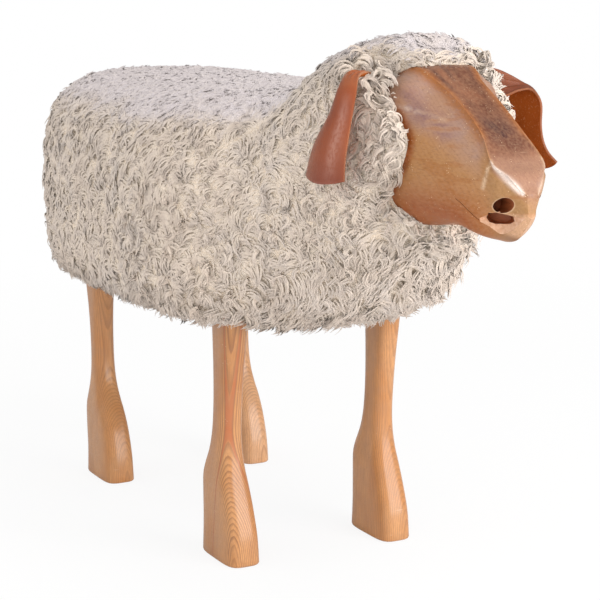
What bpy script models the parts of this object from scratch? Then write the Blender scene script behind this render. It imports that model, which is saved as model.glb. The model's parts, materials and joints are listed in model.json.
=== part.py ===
"""Sheep footstool: four carved pine legs under a padded wooden carcass, covered with fleece.

The sheep faces -Y, +Z is up, and the origin lies on the floor under the middle of the stool.
Its right side is at -X. All sizes are in metres.
"""

import math
from typing import NamedTuple

import bmesh
import bpy
from mathutils import Matrix, Vector

# Driving sizes of the whole stool
TRACK = 0.180
WHEELBASE = 0.3375
LEG_CENTRE_Y = 0.146
SEAT_CROWN = 0.487
GAP = 0.0003
SKIN_PILE = 0.022
PAD_CLEARANCE = 0.0015
PAD_SPLIT_Z = 0.400

# Margins of the cutting tools
FAR = 0.6
OVERSHOOT = 0.010
PILOT_RUNOUT = 0.002
HEAD_ROOM_IN_HOOD = 0.0012
HEAD_ROOM_IN_PADS = 0.0015
POST_ROOM_IN_PADS = 0.0010

# Carcass
CORE_HALF_WIDTH = 0.124
CORE_FRONT = -0.068
CORE_BACK = 0.3773
CORE_CLIP_X = 0.014
CORE_CLIP_Y = 0.032
BASE_BOTTOM = 0.272
BASE_THICKNESS = 0.012
TOP_BOARD_TOP = 0.424
TOP_BOARD_THICKNESS = 0.012
RAIL_THICKNESS = 0.012
BULKHEAD_THICKNESS = 0.012
RIB_THICKNESS = 0.014

# Leg fixings
TENON_RADIUS = 0.012
TENON_CLEARANCE = 0.0003
TENON_TOP = 0.312
TENON_OFFSET_Y = {"front": -0.003, "rear": 0.023}
BLOCK_HALF_WIDTH = 0.0185
BLOCK_HALF_LENGTH = 0.0270
BLOCK_TOP = 0.330
SCREW_RADIUS = 0.004
SCREW_HEAD_RADIUS = 0.0075
SCREW_HEAD_HEIGHT = 0.0055
SCREW_DEPTH_IN_LEG = 0.040
SCREW_SIDES = 12
SCREW_POINT_LENGTH = 0.006
SCREW_POINT_RATIO = 0.15

# Neck and head fixings
NECK_HALF_WIDTH = 0.035
NECK_HEIGHT = 0.070
NECK_ROOT_Z = 0.372
NECK_TOP_Z = 0.448
HEAD_BACK_Y = -0.204
HEAD_DOWEL_X = 0.018
HEAD_DOWEL_RADIUS = 0.005
HEAD_DOWEL_REACH = 0.025
NECK_SCREW_Z = {"lower": 0.366, "upper": 0.394}
NECK_SCREW_REACH = 0.028

# Belly opening in the fleece, and the cloth that closes it
BELLY_HALF_WIDTH = 0.110
BELLY_FRONT = -0.058
BELLY_BACK = 0.374
BELLY_TOOL_BOTTOM = 0.20
CLOTH_THICKNESS = 0.0015
CLOTH_MARGIN = 0.0015
LEG_HOLE_HALF_WIDTH = 0.0165
LEG_HOLE_HALF_LENGTH = 0.034
TACK_RADIUS = 0.0045
TACK_HEIGHT = 0.0018
TACKS_PER_SIDE = 4
TACK_PITCH = 0.072
TACK_MARGIN = 0.012

# Ears: each swings about a fore-and-aft line at its root
EAR_HINGE_X = 0.0525
EAR_HINGE_Y = -0.251
EAR_HINGE_Z = 0.507
EAR_THICKNESS = 0.0030
EAR_LIFT_DEG = 50.0
EAR_CUP = 0.006
EAR_GROOVE_RADIUS = 0.0055
EAR_GROOVE_HALF_LENGTH = 0.012
EAR_SLOT_RADIUS = 0.036
EAR_SLOT_MARGIN_DEG = 16.0
EAR_SLOT_STEPS = 7
EAR_SLOT_FRONT = -0.2945
EAR_SLOT_BACK = -0.2390

# Openings carved in the muzzle
NOSTRIL = (0.0160, -0.3982, 0.4086)
NOSTRIL_RADIUS = 0.0067
NOSTRIL_DEPTH = 0.018
NOSTRIL_YAW_DEG = 12.0
NOSTRIL_RISE = 0.05
MOUTH_SLIT_TOP = (0.0380, -0.3520, 0.4060)
MOUTH_SLIT_BOTTOM = (0.0270, -0.3850, 0.3880)
MOUTH_SLIT_WIDTH = 0.0016
MOUTH_SLIT_DEPTH = 0.006

# Mesh fineness
LEG_SIDES = 24
BODY_SIDES = 32
BORE_SIDES = 16
HEAD_STEPS_ROUND = 2
HEAD_STEPS_ALONG = 2
EAR_COLUMNS = 5
EAR_STEPS = 2
EAR_FADE_ROWS = 6


class LegRow(NamedTuple):
    """One level of a leg: height, heel and toe reach from its centre, half width, squareness."""

    z: float
    heel: float
    toe: float
    half_width: float
    squareness: float


class BodyRow(NamedTuple):
    """One upright cross-section of the fleece: its place, size and squareness above and below."""

    y: float
    half_width: float
    top: float
    bottom: float
    upper_squareness: float
    lower_squareness: float


class HeadRow(NamedTuple):
    """One upright cross-section of the head, from its brow line down to its jaw."""

    y: float
    crown_z: float
    ridge: tuple
    temple: tuple
    cheek: tuple
    lower_cheek: tuple
    jaw: tuple
    chin_z: float


HOOF_ROWS = (
    LegRow(0.0000, 0.0385, -0.0390, 0.0178, 4.2),
    LegRow(0.0020, 0.0400, -0.0405, 0.0190, 4.2),
    LegRow(0.0300, 0.0388, -0.0372, 0.0185, 4.2),
)
FRONT_LEG_ROWS = (
    LegRow(0.0600, 0.0400, -0.0275, 0.0177, 4.0),
    LegRow(0.0820, 0.0415, -0.0190, 0.0168, 3.6),
    LegRow(0.0950, 0.0385, -0.0150, 0.0156, 3.2),
    LegRow(0.1130, 0.0300, -0.0115, 0.0142, 2.8),
    LegRow(0.1350, 0.0245, -0.0108, 0.0131, 2.6),
    LegRow(0.1650, 0.0220, -0.0135, 0.0127, 2.6),
    LegRow(0.2000, 0.0212, -0.0178, 0.0129, 2.8),
    LegRow(0.2350, 0.0212, -0.0230, 0.0138, 3.0),
    LegRow(BASE_BOTTOM - GAP, 0.0220, -0.0280, 0.0150, 3.0),
)
REAR_LEG_ROWS = (
    LegRow(0.0600, 0.0425, -0.0285, 0.0177, 4.0),
    LegRow(0.0820, 0.0445, -0.0175, 0.0168, 3.6),
    LegRow(0.0950, 0.0415, -0.0095, 0.0156, 3.2),
    LegRow(0.1130, 0.0350, -0.0005, 0.0142, 2.8),
    LegRow(0.1350, 0.0320, 0.0040, 0.0131, 2.6),
    LegRow(0.1650, 0.0330, 0.0050, 0.0127, 2.6),
    LegRow(0.2000, 0.0375, 0.0035, 0.0129, 2.8),
    LegRow(0.2350, 0.0450, -0.0010, 0.0138, 3.0),
    LegRow(BASE_BOTTOM - GAP, 0.0520, -0.0060, 0.0150, 3.0),
)

FLEECE_ROWS = (
    BodyRow(0.4175, 0.044, 0.452, 0.286, 2.8, 2.8),
    BodyRow(0.4120, 0.075, 0.468, 0.270, 3.0, 3.2),
    BodyRow(0.3990, 0.107, 0.479, 0.261, 3.3, 4.2),
    BodyRow(0.3740, 0.135, 0.485, 0.255, 3.4, 5.0),
    BodyRow(0.3350, 0.155, SEAT_CROWN, 0.251, 3.4, 5.0),
    BodyRow(0.2750, 0.170, SEAT_CROWN, 0.249, 3.2, 5.0),
    BodyRow(0.1800, 0.176, SEAT_CROWN, 0.249, 3.0, 4.8),
    BodyRow(0.0500, 0.176, SEAT_CROWN, 0.249, 3.0, 4.6),
    BodyRow(-0.0300, 0.170, SEAT_CROWN, 0.249, 2.8, 4.2),
    BodyRow(-0.0710, 0.155, 0.4890, 0.250, 2.6, 3.4),
    BodyRow(-0.1000, 0.139, 0.4930, 0.254, 2.4, 2.9),
    BodyRow(-0.1300, 0.123, 0.5040, 0.265, 2.3, 2.7),
    BodyRow(-0.1550, 0.112, 0.5200, 0.276, 2.4, 2.8),
    BodyRow(-0.1800, 0.102, 0.5330, 0.294, 2.8, 2.7),
    BodyRow(-0.2150, 0.092, 0.5410, 0.320, 3.2, 2.6),
    BodyRow(-0.2560, 0.081, 0.5460, 0.352, 2.6, 2.6),
    BodyRow(-0.2760, 0.073, 0.5420, 0.366, 2.5, 2.6),
    BodyRow(-0.2860, 0.064, 0.5310, 0.376, 2.4, 2.6),
)
FLEECE_SEAM_Y = -0.046
WIDEST_LEVEL = 0.46

HEAD_ROWS = (
    HeadRow(HEAD_BACK_Y, 0.502, (0.026, 0.501), (0.046, 0.489), (0.055, 0.450),
            (0.048, 0.405), (0.028, 0.384), 0.381),
    HeadRow(-0.2740, 0.5185, (0.0292, 0.5173), (0.0475, 0.5030), (0.0560, 0.4580),
            (0.0480, 0.4080), (0.0280, 0.3800), 0.3765),
    HeadRow(-0.3085, 0.5030, (0.0226, 0.5047), (0.0400, 0.4880), (0.0520, 0.4530),
            (0.0460, 0.4090), (0.0270, 0.3840), 0.3795),
    HeadRow(-0.3426, 0.4840, (0.0208, 0.4871), (0.0320, 0.4700), (0.0440, 0.4420),
            (0.0400, 0.4070), (0.0260, 0.3870), 0.3830),
    HeadRow(-0.3735, 0.4645, (0.0213, 0.4666), (0.0270, 0.4560), (0.0345, 0.4330),
            (0.0310, 0.4040), (0.0215, 0.3820), 0.3745),
    HeadRow(-0.3972, 0.4430, (0.0262, 0.4440), (0.0275, 0.4340), (0.0245, 0.4165),
            (0.0165, 0.3985), (0.0105, 0.3845), 0.3770),
    HeadRow(-0.4100, 0.4345, (0.0180, 0.4335), (0.0180, 0.4280), (0.0148, 0.4165),
            (0.0085, 0.4040), (0.0065, 0.3930), 0.3870),
    HeadRow(-0.4175, 0.4230, (0.0095, 0.4220), (0.0088, 0.4180), (0.0065, 0.4120),
            (0.0035, 0.4050), (0.0030, 0.3990), 0.3970),
)

# Front and rear edge of the left ear, from its root to its tip
EAR_EDGES = (
    ((0.0525, -0.2590, 0.5070), (0.0525, -0.2430, 0.5070)),
    ((0.0660, -0.2620, 0.5110), (0.0660, -0.2440, 0.5110)),
    ((0.0800, -0.2700, 0.5105), (0.0800, -0.2480, 0.5105)),
    ((0.0925, -0.2870, 0.4970), (0.0930, -0.2570, 0.4985)),
    ((0.0990, -0.2905, 0.4750), (0.0995, -0.2530, 0.4770)),
    ((0.1035, -0.2910, 0.4500), (0.1060, -0.2420, 0.4490)),
    ((0.1085, -0.2955, 0.4290), (0.1120, -0.2290, 0.4270)),
    ((0.1100, -0.2900, 0.4200), (0.1130, -0.2310, 0.4170)),
    ((0.1105, -0.2760, 0.4160), (0.1135, -0.2430, 0.4135)),
)

SIDES = {"right": -1.0, "left": 1.0}
ENDS = {"front": -1.0, "rear": 1.0}


def clear_scene():
    """Remove every object so that the model starts from an empty scene."""
    for existing in list(bpy.data.objects):
        bpy.data.objects.remove(existing, do_unlink=True)


def make_material(name, colour, roughness, metallic=0.0):
    """Return a Principled material with one plain colour."""
    material = bpy.data.materials.new(name)
    material.use_nodes = True
    shader = material.node_tree.nodes["Principled BSDF"]
    shader.inputs["Base Color"].default_value = (*colour, 1.0)
    shader.inputs["Roughness"].default_value = roughness
    shader.inputs["Metallic"].default_value = metallic
    return material


def add_object(name, bm, material=None, location=(0.0, 0.0, 0.0), smooth_deg=None):
    """Turn a bmesh into a linked object, with faces pointing outwards."""
    bmesh.ops.recalc_face_normals(bm, faces=bm.faces)
    mesh = bpy.data.meshes.new(name)
    bm.to_mesh(mesh)
    bm.free()
    if smooth_deg is not None:
        mesh.shade_smooth()
        mesh.set_sharp_from_angle(angle=math.radians(smooth_deg))
    if material is not None:
        mesh.materials.append(material)
    new_object = bpy.data.objects.new(name, mesh)
    new_object.location = location
    bpy.context.collection.objects.link(new_object)
    return new_object


def as_cutter(tool):
    """Hide a shaping tool from the finished model."""
    tool.hide_render = True
    tool.display_type = "WIRE"
    return tool


def carve(target, *tools, operation="DIFFERENCE"):
    """Cut each tool out of the target, or keep only what they share."""
    for tool in tools:
        modifier = target.modifiers.new(tool.name, "BOOLEAN")
        modifier.operation = operation
        modifier.solver = "EXACT"
        modifier.object = as_cutter(tool)
    return target


def box_mesh(low, high):
    """Return a bmesh box between two corners."""
    bm = bmesh.new()
    bmesh.ops.create_cube(bm, size=1.0)
    size = Vector(high) - Vector(low)
    centre = (Vector(high) + Vector(low)) / 2
    bmesh.ops.scale(bm, vec=size, verts=bm.verts)
    bmesh.ops.translate(bm, vec=centre, verts=bm.verts)
    return bm


def add_box(name, low, high, material=None):
    """Add a plain box between two corners."""
    return add_object(name, box_mesh(low, high), material)


def rod_mesh(start, end, radius, sides=BORE_SIDES):
    """Return a bmesh cylinder from one point to another."""
    start, end = Vector(start), Vector(end)
    axis = end - start
    turn = axis.to_track_quat("Z", "Y").to_matrix().to_4x4()
    place = Matrix.Translation((start + end) / 2) @ turn
    bm = bmesh.new()
    bmesh.ops.create_cone(bm, cap_ends=True, segments=sides, radius1=radius, radius2=radius,
                          depth=axis.length, matrix=place)
    return bm


def add_rod(name, start, end, radius, material=None, sides=BORE_SIDES):
    """Add a round rod from one point to another."""
    return add_object(name, rod_mesh(start, end, radius, sides), material, smooth_deg=40)


def loft(rings):
    """Skin a row of rings of equal length and close both ends."""
    bm = bmesh.new()
    skins = [[bm.verts.new(point) for point in ring] for ring in rings]
    count = len(skins[0])
    for lower, upper in zip(skins, skins[1:]):
        for index in range(count):
            after = (index + 1) % count
            bm.faces.new((lower[index], lower[after], upper[after], upper[index]))
    bm.faces.new(reversed(skins[0]))
    bm.faces.new(skins[-1])
    return bm


def flatten(row):
    """Return a row's numbers as one flat list, opening its pairs."""
    numbers = []
    for value in row:
        if isinstance(value, tuple):
            numbers.extend(value)
        else:
            numbers.append(value)
    return numbers


def smooth_rows(rows, steps):
    """Return rows of numbers with cubic in-betweens, each span cut into equal steps."""
    table = [flatten(row) for row in rows]
    result = []
    for index in range(len(table) - 1):
        before = table[max(index - 1, 0)]
        start, end = table[index], table[index + 1]
        after = table[min(index + 2, len(table) - 1)]
        for step in range(steps):
            t = step / steps
            blend = [
                0.5 * (2 * b + (c - a) * t + (2 * a - 5 * b + 4 * c - d) * t * t
                       + (3 * b - a - 3 * c + d) * t ** 3)
                for a, b, c, d in zip(before, start, end, after)
            ]
            result.append(blend)
    result.append(table[-1])
    return result


def rounded_box_point(angle, half_a, half_b, squareness):
    """Return a point of a superellipse, round at 2 and squarer above it."""
    power = 2.0 / squareness
    cosine, sine = math.cos(angle), math.sin(angle)
    along_a = half_a * math.copysign(abs(cosine) ** power, cosine)
    along_b = half_b * math.copysign(abs(sine) ** power, sine)
    return along_a, along_b


def leg_rings(rows):
    """Return the rings of one leg about its own centre."""
    rings = []
    for z, heel, toe, half_width, squareness in rows:
        middle = (heel + toe) / 2
        half_length = (heel - toe) / 2
        ring = []
        for side in range(LEG_SIDES):
            angle = 2 * math.pi * (side + 0.5) / LEG_SIDES
            x, y = rounded_box_point(angle, half_width, half_length, squareness)
            ring.append(Vector((x, middle + y, z)))
        rings.append(ring)
    return rings


def tenon_ring(offset_y, z):
    """Return one ring of the round tenon on a leg's top."""
    ring = []
    for side in range(LEG_SIDES):
        angle = 2 * math.pi * (side + 0.5) / LEG_SIDES
        x, y = TENON_RADIUS * math.cos(angle), TENON_RADIUS * math.sin(angle)
        ring.append(Vector((x, offset_y + y, z)))
    return ring


def leg_place(side, end):
    """Return where a leg stands."""
    return Vector((SIDES[side] * TRACK / 2, LEG_CENTRE_Y + ENDS[end] * WHEELBASE / 2, 0.0))


def tenon_place(side, end):
    """Return the floor point under a leg's tenon."""
    return leg_place(side, end) + Vector((0.0, TENON_OFFSET_Y[end], 0.0))


def add_leg(side, end, material):
    """Add a carved leg, its tenon and the pilot hole for its screw."""
    rows = HOOF_ROWS + (FRONT_LEG_ROWS if end == "front" else REAR_LEG_ROWS)
    rings = leg_rings(rows)
    rings.append(tenon_ring(TENON_OFFSET_Y[end], BASE_BOTTOM - GAP))
    rings.append(tenon_ring(TENON_OFFSET_Y[end], TENON_TOP))
    name = f"leg_{end}_{side}"
    leg = add_object(name, loft(rings), material, location=leg_place(side, end), smooth_deg=50)
    place = tenon_place(side, end)
    hole_low = place + Vector((0, 0, TENON_TOP - SCREW_DEPTH_IN_LEG - PILOT_RUNOUT))
    hole_high = place + Vector((0, 0, TENON_TOP + OVERSHOOT))
    pilot = add_rod(f"{name}_pilot_tool", hole_low, hole_high, SCREW_RADIUS + GAP)
    return carve(leg, pilot)


def add_leg_block(side, end, material):
    """Add the corner block that a leg's tenon plugs into."""
    name = f"leg_block_{end}_{side}"
    place = tenon_place(side, end)
    low = place + Vector((-BLOCK_HALF_WIDTH, -BLOCK_HALF_LENGTH, 0))
    high = place + Vector((BLOCK_HALF_WIDTH, BLOCK_HALF_LENGTH, 0))
    low.z = BASE_BOTTOM + BASE_THICKNESS + GAP
    high.z = BLOCK_TOP
    block = add_box(name, low, high, material)
    socket = add_rod(f"{name}_socket_tool", place + Vector((0, 0, BASE_BOTTOM)),
                     place + Vector((0, 0, TENON_TOP + GAP)), TENON_RADIUS + TENON_CLEARANCE)
    hole = add_rod(f"{name}_hole_tool", place + Vector((0, 0, TENON_TOP - OVERSHOOT)),
                   place + Vector((0, 0, BLOCK_TOP + OVERSHOOT)), SCREW_RADIUS + GAP)
    return carve(block, socket, hole)


def screw_mesh(base, direction, length):
    """Return a hexagon-headed screw whose head sits on a base point."""
    direction = Vector(direction).normalized()
    turn = direction.to_track_quat("Z", "Y").to_matrix().to_4x4()
    place = Matrix.Translation(Vector(base)) @ turn
    head_ring = [
        Vector((SCREW_HEAD_RADIUS * math.cos(math.pi * (index + 0.5) / 6),
                SCREW_HEAD_RADIUS * math.sin(math.pi * (index + 0.5) / 6), 0.0))
        for index in range(SCREW_SIDES)
    ]
    for index in range(1, SCREW_SIDES, 2):
        head_ring[index] = (head_ring[index - 1] + head_ring[(index + 1) % SCREW_SIDES]) / 2
    shank_ring = [
        Vector((SCREW_RADIUS * math.cos(math.pi * (index + 0.5) / 6),
                SCREW_RADIUS * math.sin(math.pi * (index + 0.5) / 6), 0.0))
        for index in range(SCREW_SIDES)
    ]
    lift = Vector((0, 0, 1))
    rings = [
        [point * SCREW_POINT_RATIO - lift * length for point in shank_ring],
        [point - lift * (length - SCREW_POINT_LENGTH) for point in shank_ring],
        shank_ring,
        head_ring,
        [point + lift * SCREW_HEAD_HEIGHT for point in head_ring],
    ]
    bm = loft(rings)
    bmesh.ops.transform(bm, matrix=place, verts=bm.verts)
    return bm


def add_leg_screw(side, end, material):
    """Add the screw that holds a leg up into its block."""
    base = tenon_place(side, end) + Vector((0, 0, BLOCK_TOP + GAP))
    length = BLOCK_TOP + GAP - TENON_TOP + SCREW_DEPTH_IN_LEG
    return add_object(f"leg_screw_{end}_{side}", screw_mesh(base, (0, 0, 1), length), material)


def board_outline(grow=0.0):
    """Return the plan of the base and seat boards: a rectangle with clipped corners."""
    side, front, back = CORE_HALF_WIDTH + grow, CORE_FRONT - grow, CORE_BACK + grow
    inner = side - CORE_CLIP_X
    corners = [
        (side, front + CORE_CLIP_Y), (side, back - CORE_CLIP_Y), (inner, back), (-inner, back),
        (-side, back - CORE_CLIP_Y), (-side, front + CORE_CLIP_Y), (-inner, front), (inner, front),
    ]
    return corners


def board_mesh(bottom, top, grow=0.0):
    """Return a flat board on the carcass outline, optionally a little larger all round."""
    return loft([[Vector((x, y, z)) for x, y in board_outline(grow)] for z in (bottom, top)])


def add_carcass(ply, pine):
    """Add the boards of the carcass: base, top, side rails, bulkheads and rib."""
    base_top = BASE_BOTTOM + BASE_THICKNESS
    board_under = TOP_BOARD_TOP - TOP_BOARD_THICKNESS
    base = add_object("base_board", board_mesh(BASE_BOTTOM, base_top), ply)
    for side in SIDES:
        for end in ENDS:
            place = tenon_place(side, end)
            low = place + Vector((0, 0, BASE_BOTTOM - OVERSHOOT))
            high = place + Vector((0, 0, base_top + OVERSHOOT))
            hole = add_rod(f"base_hole_{end}_{side}_tool", low, high, TENON_RADIUS + TENON_CLEARANCE)
            carve(base, hole)
    add_object("seat_board", board_mesh(board_under, TOP_BOARD_TOP), ply)
    low_z, high_z = base_top + GAP, board_under - GAP
    inner = CORE_HALF_WIDTH - RAIL_THICKNESS
    for side, sign in SIDES.items():
        edges = sorted((sign * inner, sign * CORE_HALF_WIDTH))
        add_box(f"side_rail_{side}", (edges[0], CORE_FRONT + CORE_CLIP_Y, low_z),
                (edges[1], CORE_BACK - CORE_CLIP_Y, high_z), pine)
    reach = CORE_HALF_WIDTH - CORE_CLIP_X
    front = add_box("front_bulkhead", (-reach, CORE_FRONT, low_z),
                    (reach, CORE_FRONT + BULKHEAD_THICKNESS, high_z), pine)
    for level, z in NECK_SCREW_Z.items():
        hole = add_rod(f"bulkhead_hole_{level}_tool", (0, CORE_FRONT - OVERSHOOT, z),
                       (0, CORE_FRONT + BULKHEAD_THICKNESS + OVERSHOOT, z), SCREW_RADIUS + GAP)
        carve(front, hole)
    add_box("rear_bulkhead", (-reach, CORE_BACK - BULKHEAD_THICKNESS, low_z),
            (reach, CORE_BACK, high_z), pine)
    rib_reach = inner - GAP
    add_box("centre_rib", (-rib_reach, LEG_CENTRE_Y - RIB_THICKNESS / 2, low_z),
            (rib_reach, LEG_CENTRE_Y + RIB_THICKNESS / 2, high_z), pine)


def neck_post_mesh(grow=0.0):
    """Return the sloping post between carcass and head, optionally a little larger."""
    half_width = NECK_HALF_WIDTH + grow
    half_height = NECK_HEIGHT / 2 + grow
    start_y, end_y = CORE_FRONT - GAP + grow, HEAD_BACK_Y + GAP - grow
    rings = []
    for y, z in ((start_y, NECK_ROOT_Z), (end_y, NECK_TOP_Z)):
        rings.append([
            Vector((-half_width, y, z - half_height)),
            Vector((half_width, y, z - half_height)),
            Vector((half_width, y, z + half_height)),
            Vector((-half_width, y, z + half_height)),
        ])
    return loft(rings)


def add_neck(wood, dowel_wood, steel):
    """Add the neck post, the screws at its root and the dowels at its head end."""
    post = add_object("neck_post", neck_post_mesh(), wood)
    for level, z in NECK_SCREW_Z.items():
        base = (0, CORE_FRONT + BULKHEAD_THICKNESS + GAP, z)
        length = BULKHEAD_THICKNESS + NECK_SCREW_REACH
        pilot = add_rod(f"neck_pilot_{level}_tool", (0, CORE_FRONT + OVERSHOOT, z),
                        (0, CORE_FRONT - NECK_SCREW_REACH - PILOT_RUNOUT, z), SCREW_RADIUS + GAP)
        carve(post, pilot)
        add_object(f"neck_screw_{level}", screw_mesh(base, (0, 1, 0), length), steel)
    for side, sign in SIDES.items():
        x = sign * HEAD_DOWEL_X
        reach = HEAD_DOWEL_REACH
        add_rod(f"head_dowel_{side}", (x, HEAD_BACK_Y - reach, NECK_TOP_Z),
                (x, HEAD_BACK_Y + reach, NECK_TOP_Z), HEAD_DOWEL_RADIUS, dowel_wood)
        bore = add_rod(f"post_bore_{side}_tool", (x, HEAD_BACK_Y - OVERSHOOT, NECK_TOP_Z),
                       (x, HEAD_BACK_Y + reach + GAP, NECK_TOP_Z), HEAD_DOWEL_RADIUS + GAP)
        carve(post, bore)


def head_section(numbers, grow):
    """Return one closed ring of the head from a row of its key points."""
    y, crown_z, *pairs, chin_z = numbers
    half = [(0.0, crown_z)] + [(pairs[i], pairs[i + 1]) for i in range(0, len(pairs), 2)]
    half.append((0.0, chin_z))
    middle = (crown_z + chin_z) / 2
    curve = smooth_rows(half, HEAD_STEPS_ROUND)
    outline = [(x, z) for x, z in curve]
    outline += [(-x, z) for x, z in reversed(curve[1:-1])]
    ring = []
    for x, z in outline:
        outward = Vector((x, z - middle))
        outward = outward + outward.normalized() * grow
        ring.append(Vector((outward.x, y, middle + outward.y)))
    return ring


def head_mesh(grow=0.0):
    """Return the head as one loft from the neck to the nose, optionally a little larger."""
    rings = [head_section(row, grow) for row in smooth_rows(HEAD_ROWS, HEAD_STEPS_ALONG)]
    for point in rings[0]:
        point.y += grow
    for point in rings[-1]:
        point.y -= grow
    return loft(rings)


def add_head(wood):
    """Add the carved head with its nostrils, mouth, dowel bores and ear grooves."""
    head = add_object("head", head_mesh(), wood, smooth_deg=35)
    tools = []
    for side, sign in SIDES.items():
        yaw = math.radians(NOSTRIL_YAW_DEG)
        outward = Vector((sign * math.sin(yaw), -math.cos(yaw), NOSTRIL_RISE)).normalized()
        mouth_of_bore = Vector((sign * NOSTRIL[0], NOSTRIL[1], NOSTRIL[2]))
        tools.append(add_rod(f"nostril_{side}_tool", mouth_of_bore - outward * NOSTRIL_DEPTH,
                             mouth_of_bore + outward * 2 * OVERSHOOT, NOSTRIL_RADIUS))
        x = sign * HEAD_DOWEL_X
        tools.append(add_rod(f"head_bore_{side}_tool", (x, HEAD_BACK_Y + OVERSHOOT, NECK_TOP_Z),
                             (x, HEAD_BACK_Y - HEAD_DOWEL_REACH - GAP, NECK_TOP_Z),
                             HEAD_DOWEL_RADIUS + GAP))
        hinge_x = sign * EAR_HINGE_X
        tools.append(add_rod(f"ear_groove_{side}_tool",
                             (hinge_x, EAR_HINGE_Y - EAR_GROOVE_HALF_LENGTH, EAR_HINGE_Z),
                             (hinge_x, EAR_HINGE_Y + EAR_GROOVE_HALF_LENGTH, EAR_HINGE_Z),
                             EAR_GROOVE_RADIUS))
        tools.append(add_mouth_slit_tool(side, sign))
    return carve(head, *tools)


def add_mouth_slit_tool(side, sign):
    """Add the thin slanting cutter for one corner of the mouth."""
    mirror = Vector((sign, 1.0, 1.0))
    top = Vector(MOUTH_SLIT_TOP) * mirror
    bottom = Vector(MOUTH_SLIT_BOTTOM) * mirror
    outward = Vector((sign, -0.25, -0.35)).normalized()
    along = bottom - top
    across = along.cross(outward).normalized() * MOUTH_SLIT_WIDTH / 2
    reach = outward * MOUTH_SLIT_DEPTH
    rings = [
        [end - reach - across, end + 2 * reach - across, end + 2 * reach + across,
         end - reach + across]
        for end in (top, bottom)
    ]
    return add_object(f"mouth_slit_{side}_tool", loft(rings))


def body_ring(row, inset):
    """Return one upright ring of the body, drawn in by an inset."""
    y, half_width, top, bottom, upper_squareness, lower_squareness = row
    widest = bottom + (top - bottom) * WIDEST_LEVEL
    ring = []
    for side in range(BODY_SIDES):
        angle = 2 * math.pi * (side + 0.5) / BODY_SIDES
        above = math.sin(angle) > 0
        half_height = (top - widest if above else widest - bottom) - inset
        squareness = upper_squareness if above else lower_squareness
        x, z = rounded_box_point(angle, half_width - inset, half_height, squareness)
        ring.append(Vector((x, y, widest + z)))
    return ring


def body_form(inset, first_y=None, last_y=None):
    """Return the form of the body and neck, drawn in by an inset all over."""
    rings = [body_ring(row, inset) for row in FLEECE_ROWS]
    back, front = rings[0][0].y, rings[-1][0].y
    middle_y = (back + front) / 2
    squeeze = (back - front - 2 * inset) / (back - front)
    for ring in rings:
        for point in ring:
            point.y = middle_y + (point.y - middle_y) * squeeze
    bm = loft(rings)
    if first_y is not None:
        slice_away(bm, first_y, keep_front=True)
    if last_y is not None:
        slice_away(bm, last_y, keep_front=False)
    return bm


def slice_away(bm, y, keep_front):
    """Cut a form off at an upright plane and close the cut."""
    normal = (0, 1, 0) if keep_front else (0, -1, 0)
    geometry = bm.verts[:] + bm.edges[:] + bm.faces[:]
    cut = bmesh.ops.bisect_plane(bm, geom=geometry, plane_co=(0, y, 0), plane_no=normal,
                                 clear_outer=True)
    rim = [item for item in cut["geom_cut"] if isinstance(item, bmesh.types.BMEdge)]
    bmesh.ops.edgeloop_fill(bm, edges=rim)


def ear_slot_tool(side, sign):
    """Add the fan-shaped slot that an ear's root needs in the fleece as it lifts."""
    first, last = -EAR_SLOT_MARGIN_DEG, EAR_LIFT_DEG + EAR_SLOT_MARGIN_DEG
    profile = [(EAR_HINGE_X - 0.004, EAR_HINGE_Z - 0.006), (EAR_HINGE_X, EAR_HINGE_Z - 0.010)]
    for step in range(EAR_SLOT_STEPS + 1):
        angle = math.radians(first + (last - first) * step / EAR_SLOT_STEPS)
        profile.append((EAR_HINGE_X + EAR_SLOT_RADIUS * math.cos(angle),
                        EAR_HINGE_Z + EAR_SLOT_RADIUS * math.sin(angle)))
    profile.append((EAR_HINGE_X - 0.004, EAR_HINGE_Z + 0.010))
    rings = [
        [Vector((sign * x, y, z)) for x, z in profile]
        for y in (EAR_SLOT_FRONT, EAR_SLOT_BACK)
    ]
    return add_object(f"ear_slot_{side}_tool", loft(rings))


def add_pads(foam):
    """Add the foam pads between carcass and fleece, each a slice of the padded form."""
    inset = SKIN_PILE + PAD_CLEARANCE
    side_inner = CORE_HALF_WIDTH + GAP
    back, front = CORE_BACK + GAP, CORE_FRONT - GAP
    seat_low = TOP_BOARD_TOP + GAP
    regions = {
        "rump_pad": ((-FAR, back, BASE_BOTTOM), (FAR, FAR, FAR)),
        "side_pad_right": ((-FAR, front, BASE_BOTTOM), (-side_inner, back - GAP, seat_low - GAP)),
        "side_pad_left": ((side_inner, front, BASE_BOTTOM), (FAR, back - GAP, seat_low - GAP)),
        "seat_pad": ((-FAR, front, seat_low), (FAR, back - GAP, FAR)),
        "chest_pad": ((-FAR, -FAR, BASE_BOTTOM), (FAR, front - GAP, PAD_SPLIT_Z - GAP)),
        "neck_pad": ((-FAR, -FAR, PAD_SPLIT_Z), (FAR, front - GAP, FAR)),
    }
    for name, (low, high) in regions.items():
        pad = add_object(name, body_form(inset), foam, smooth_deg=60)
        carve(pad, add_box(f"{name}_region_tool", low, high), operation="INTERSECT")
        if name in ("chest_pad", "neck_pad"):
            post = add_object(f"{name}_post_tool", neck_post_mesh(POST_ROOM_IN_PADS))
            head = add_object(f"{name}_head_tool", head_mesh(HEAD_ROOM_IN_PADS))
            carve(pad, post, head)
        if name == "neck_pad":
            carve(pad, *(ear_slot_tool(f"pad_{side}", sign) for side, sign in SIDES.items()))


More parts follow.
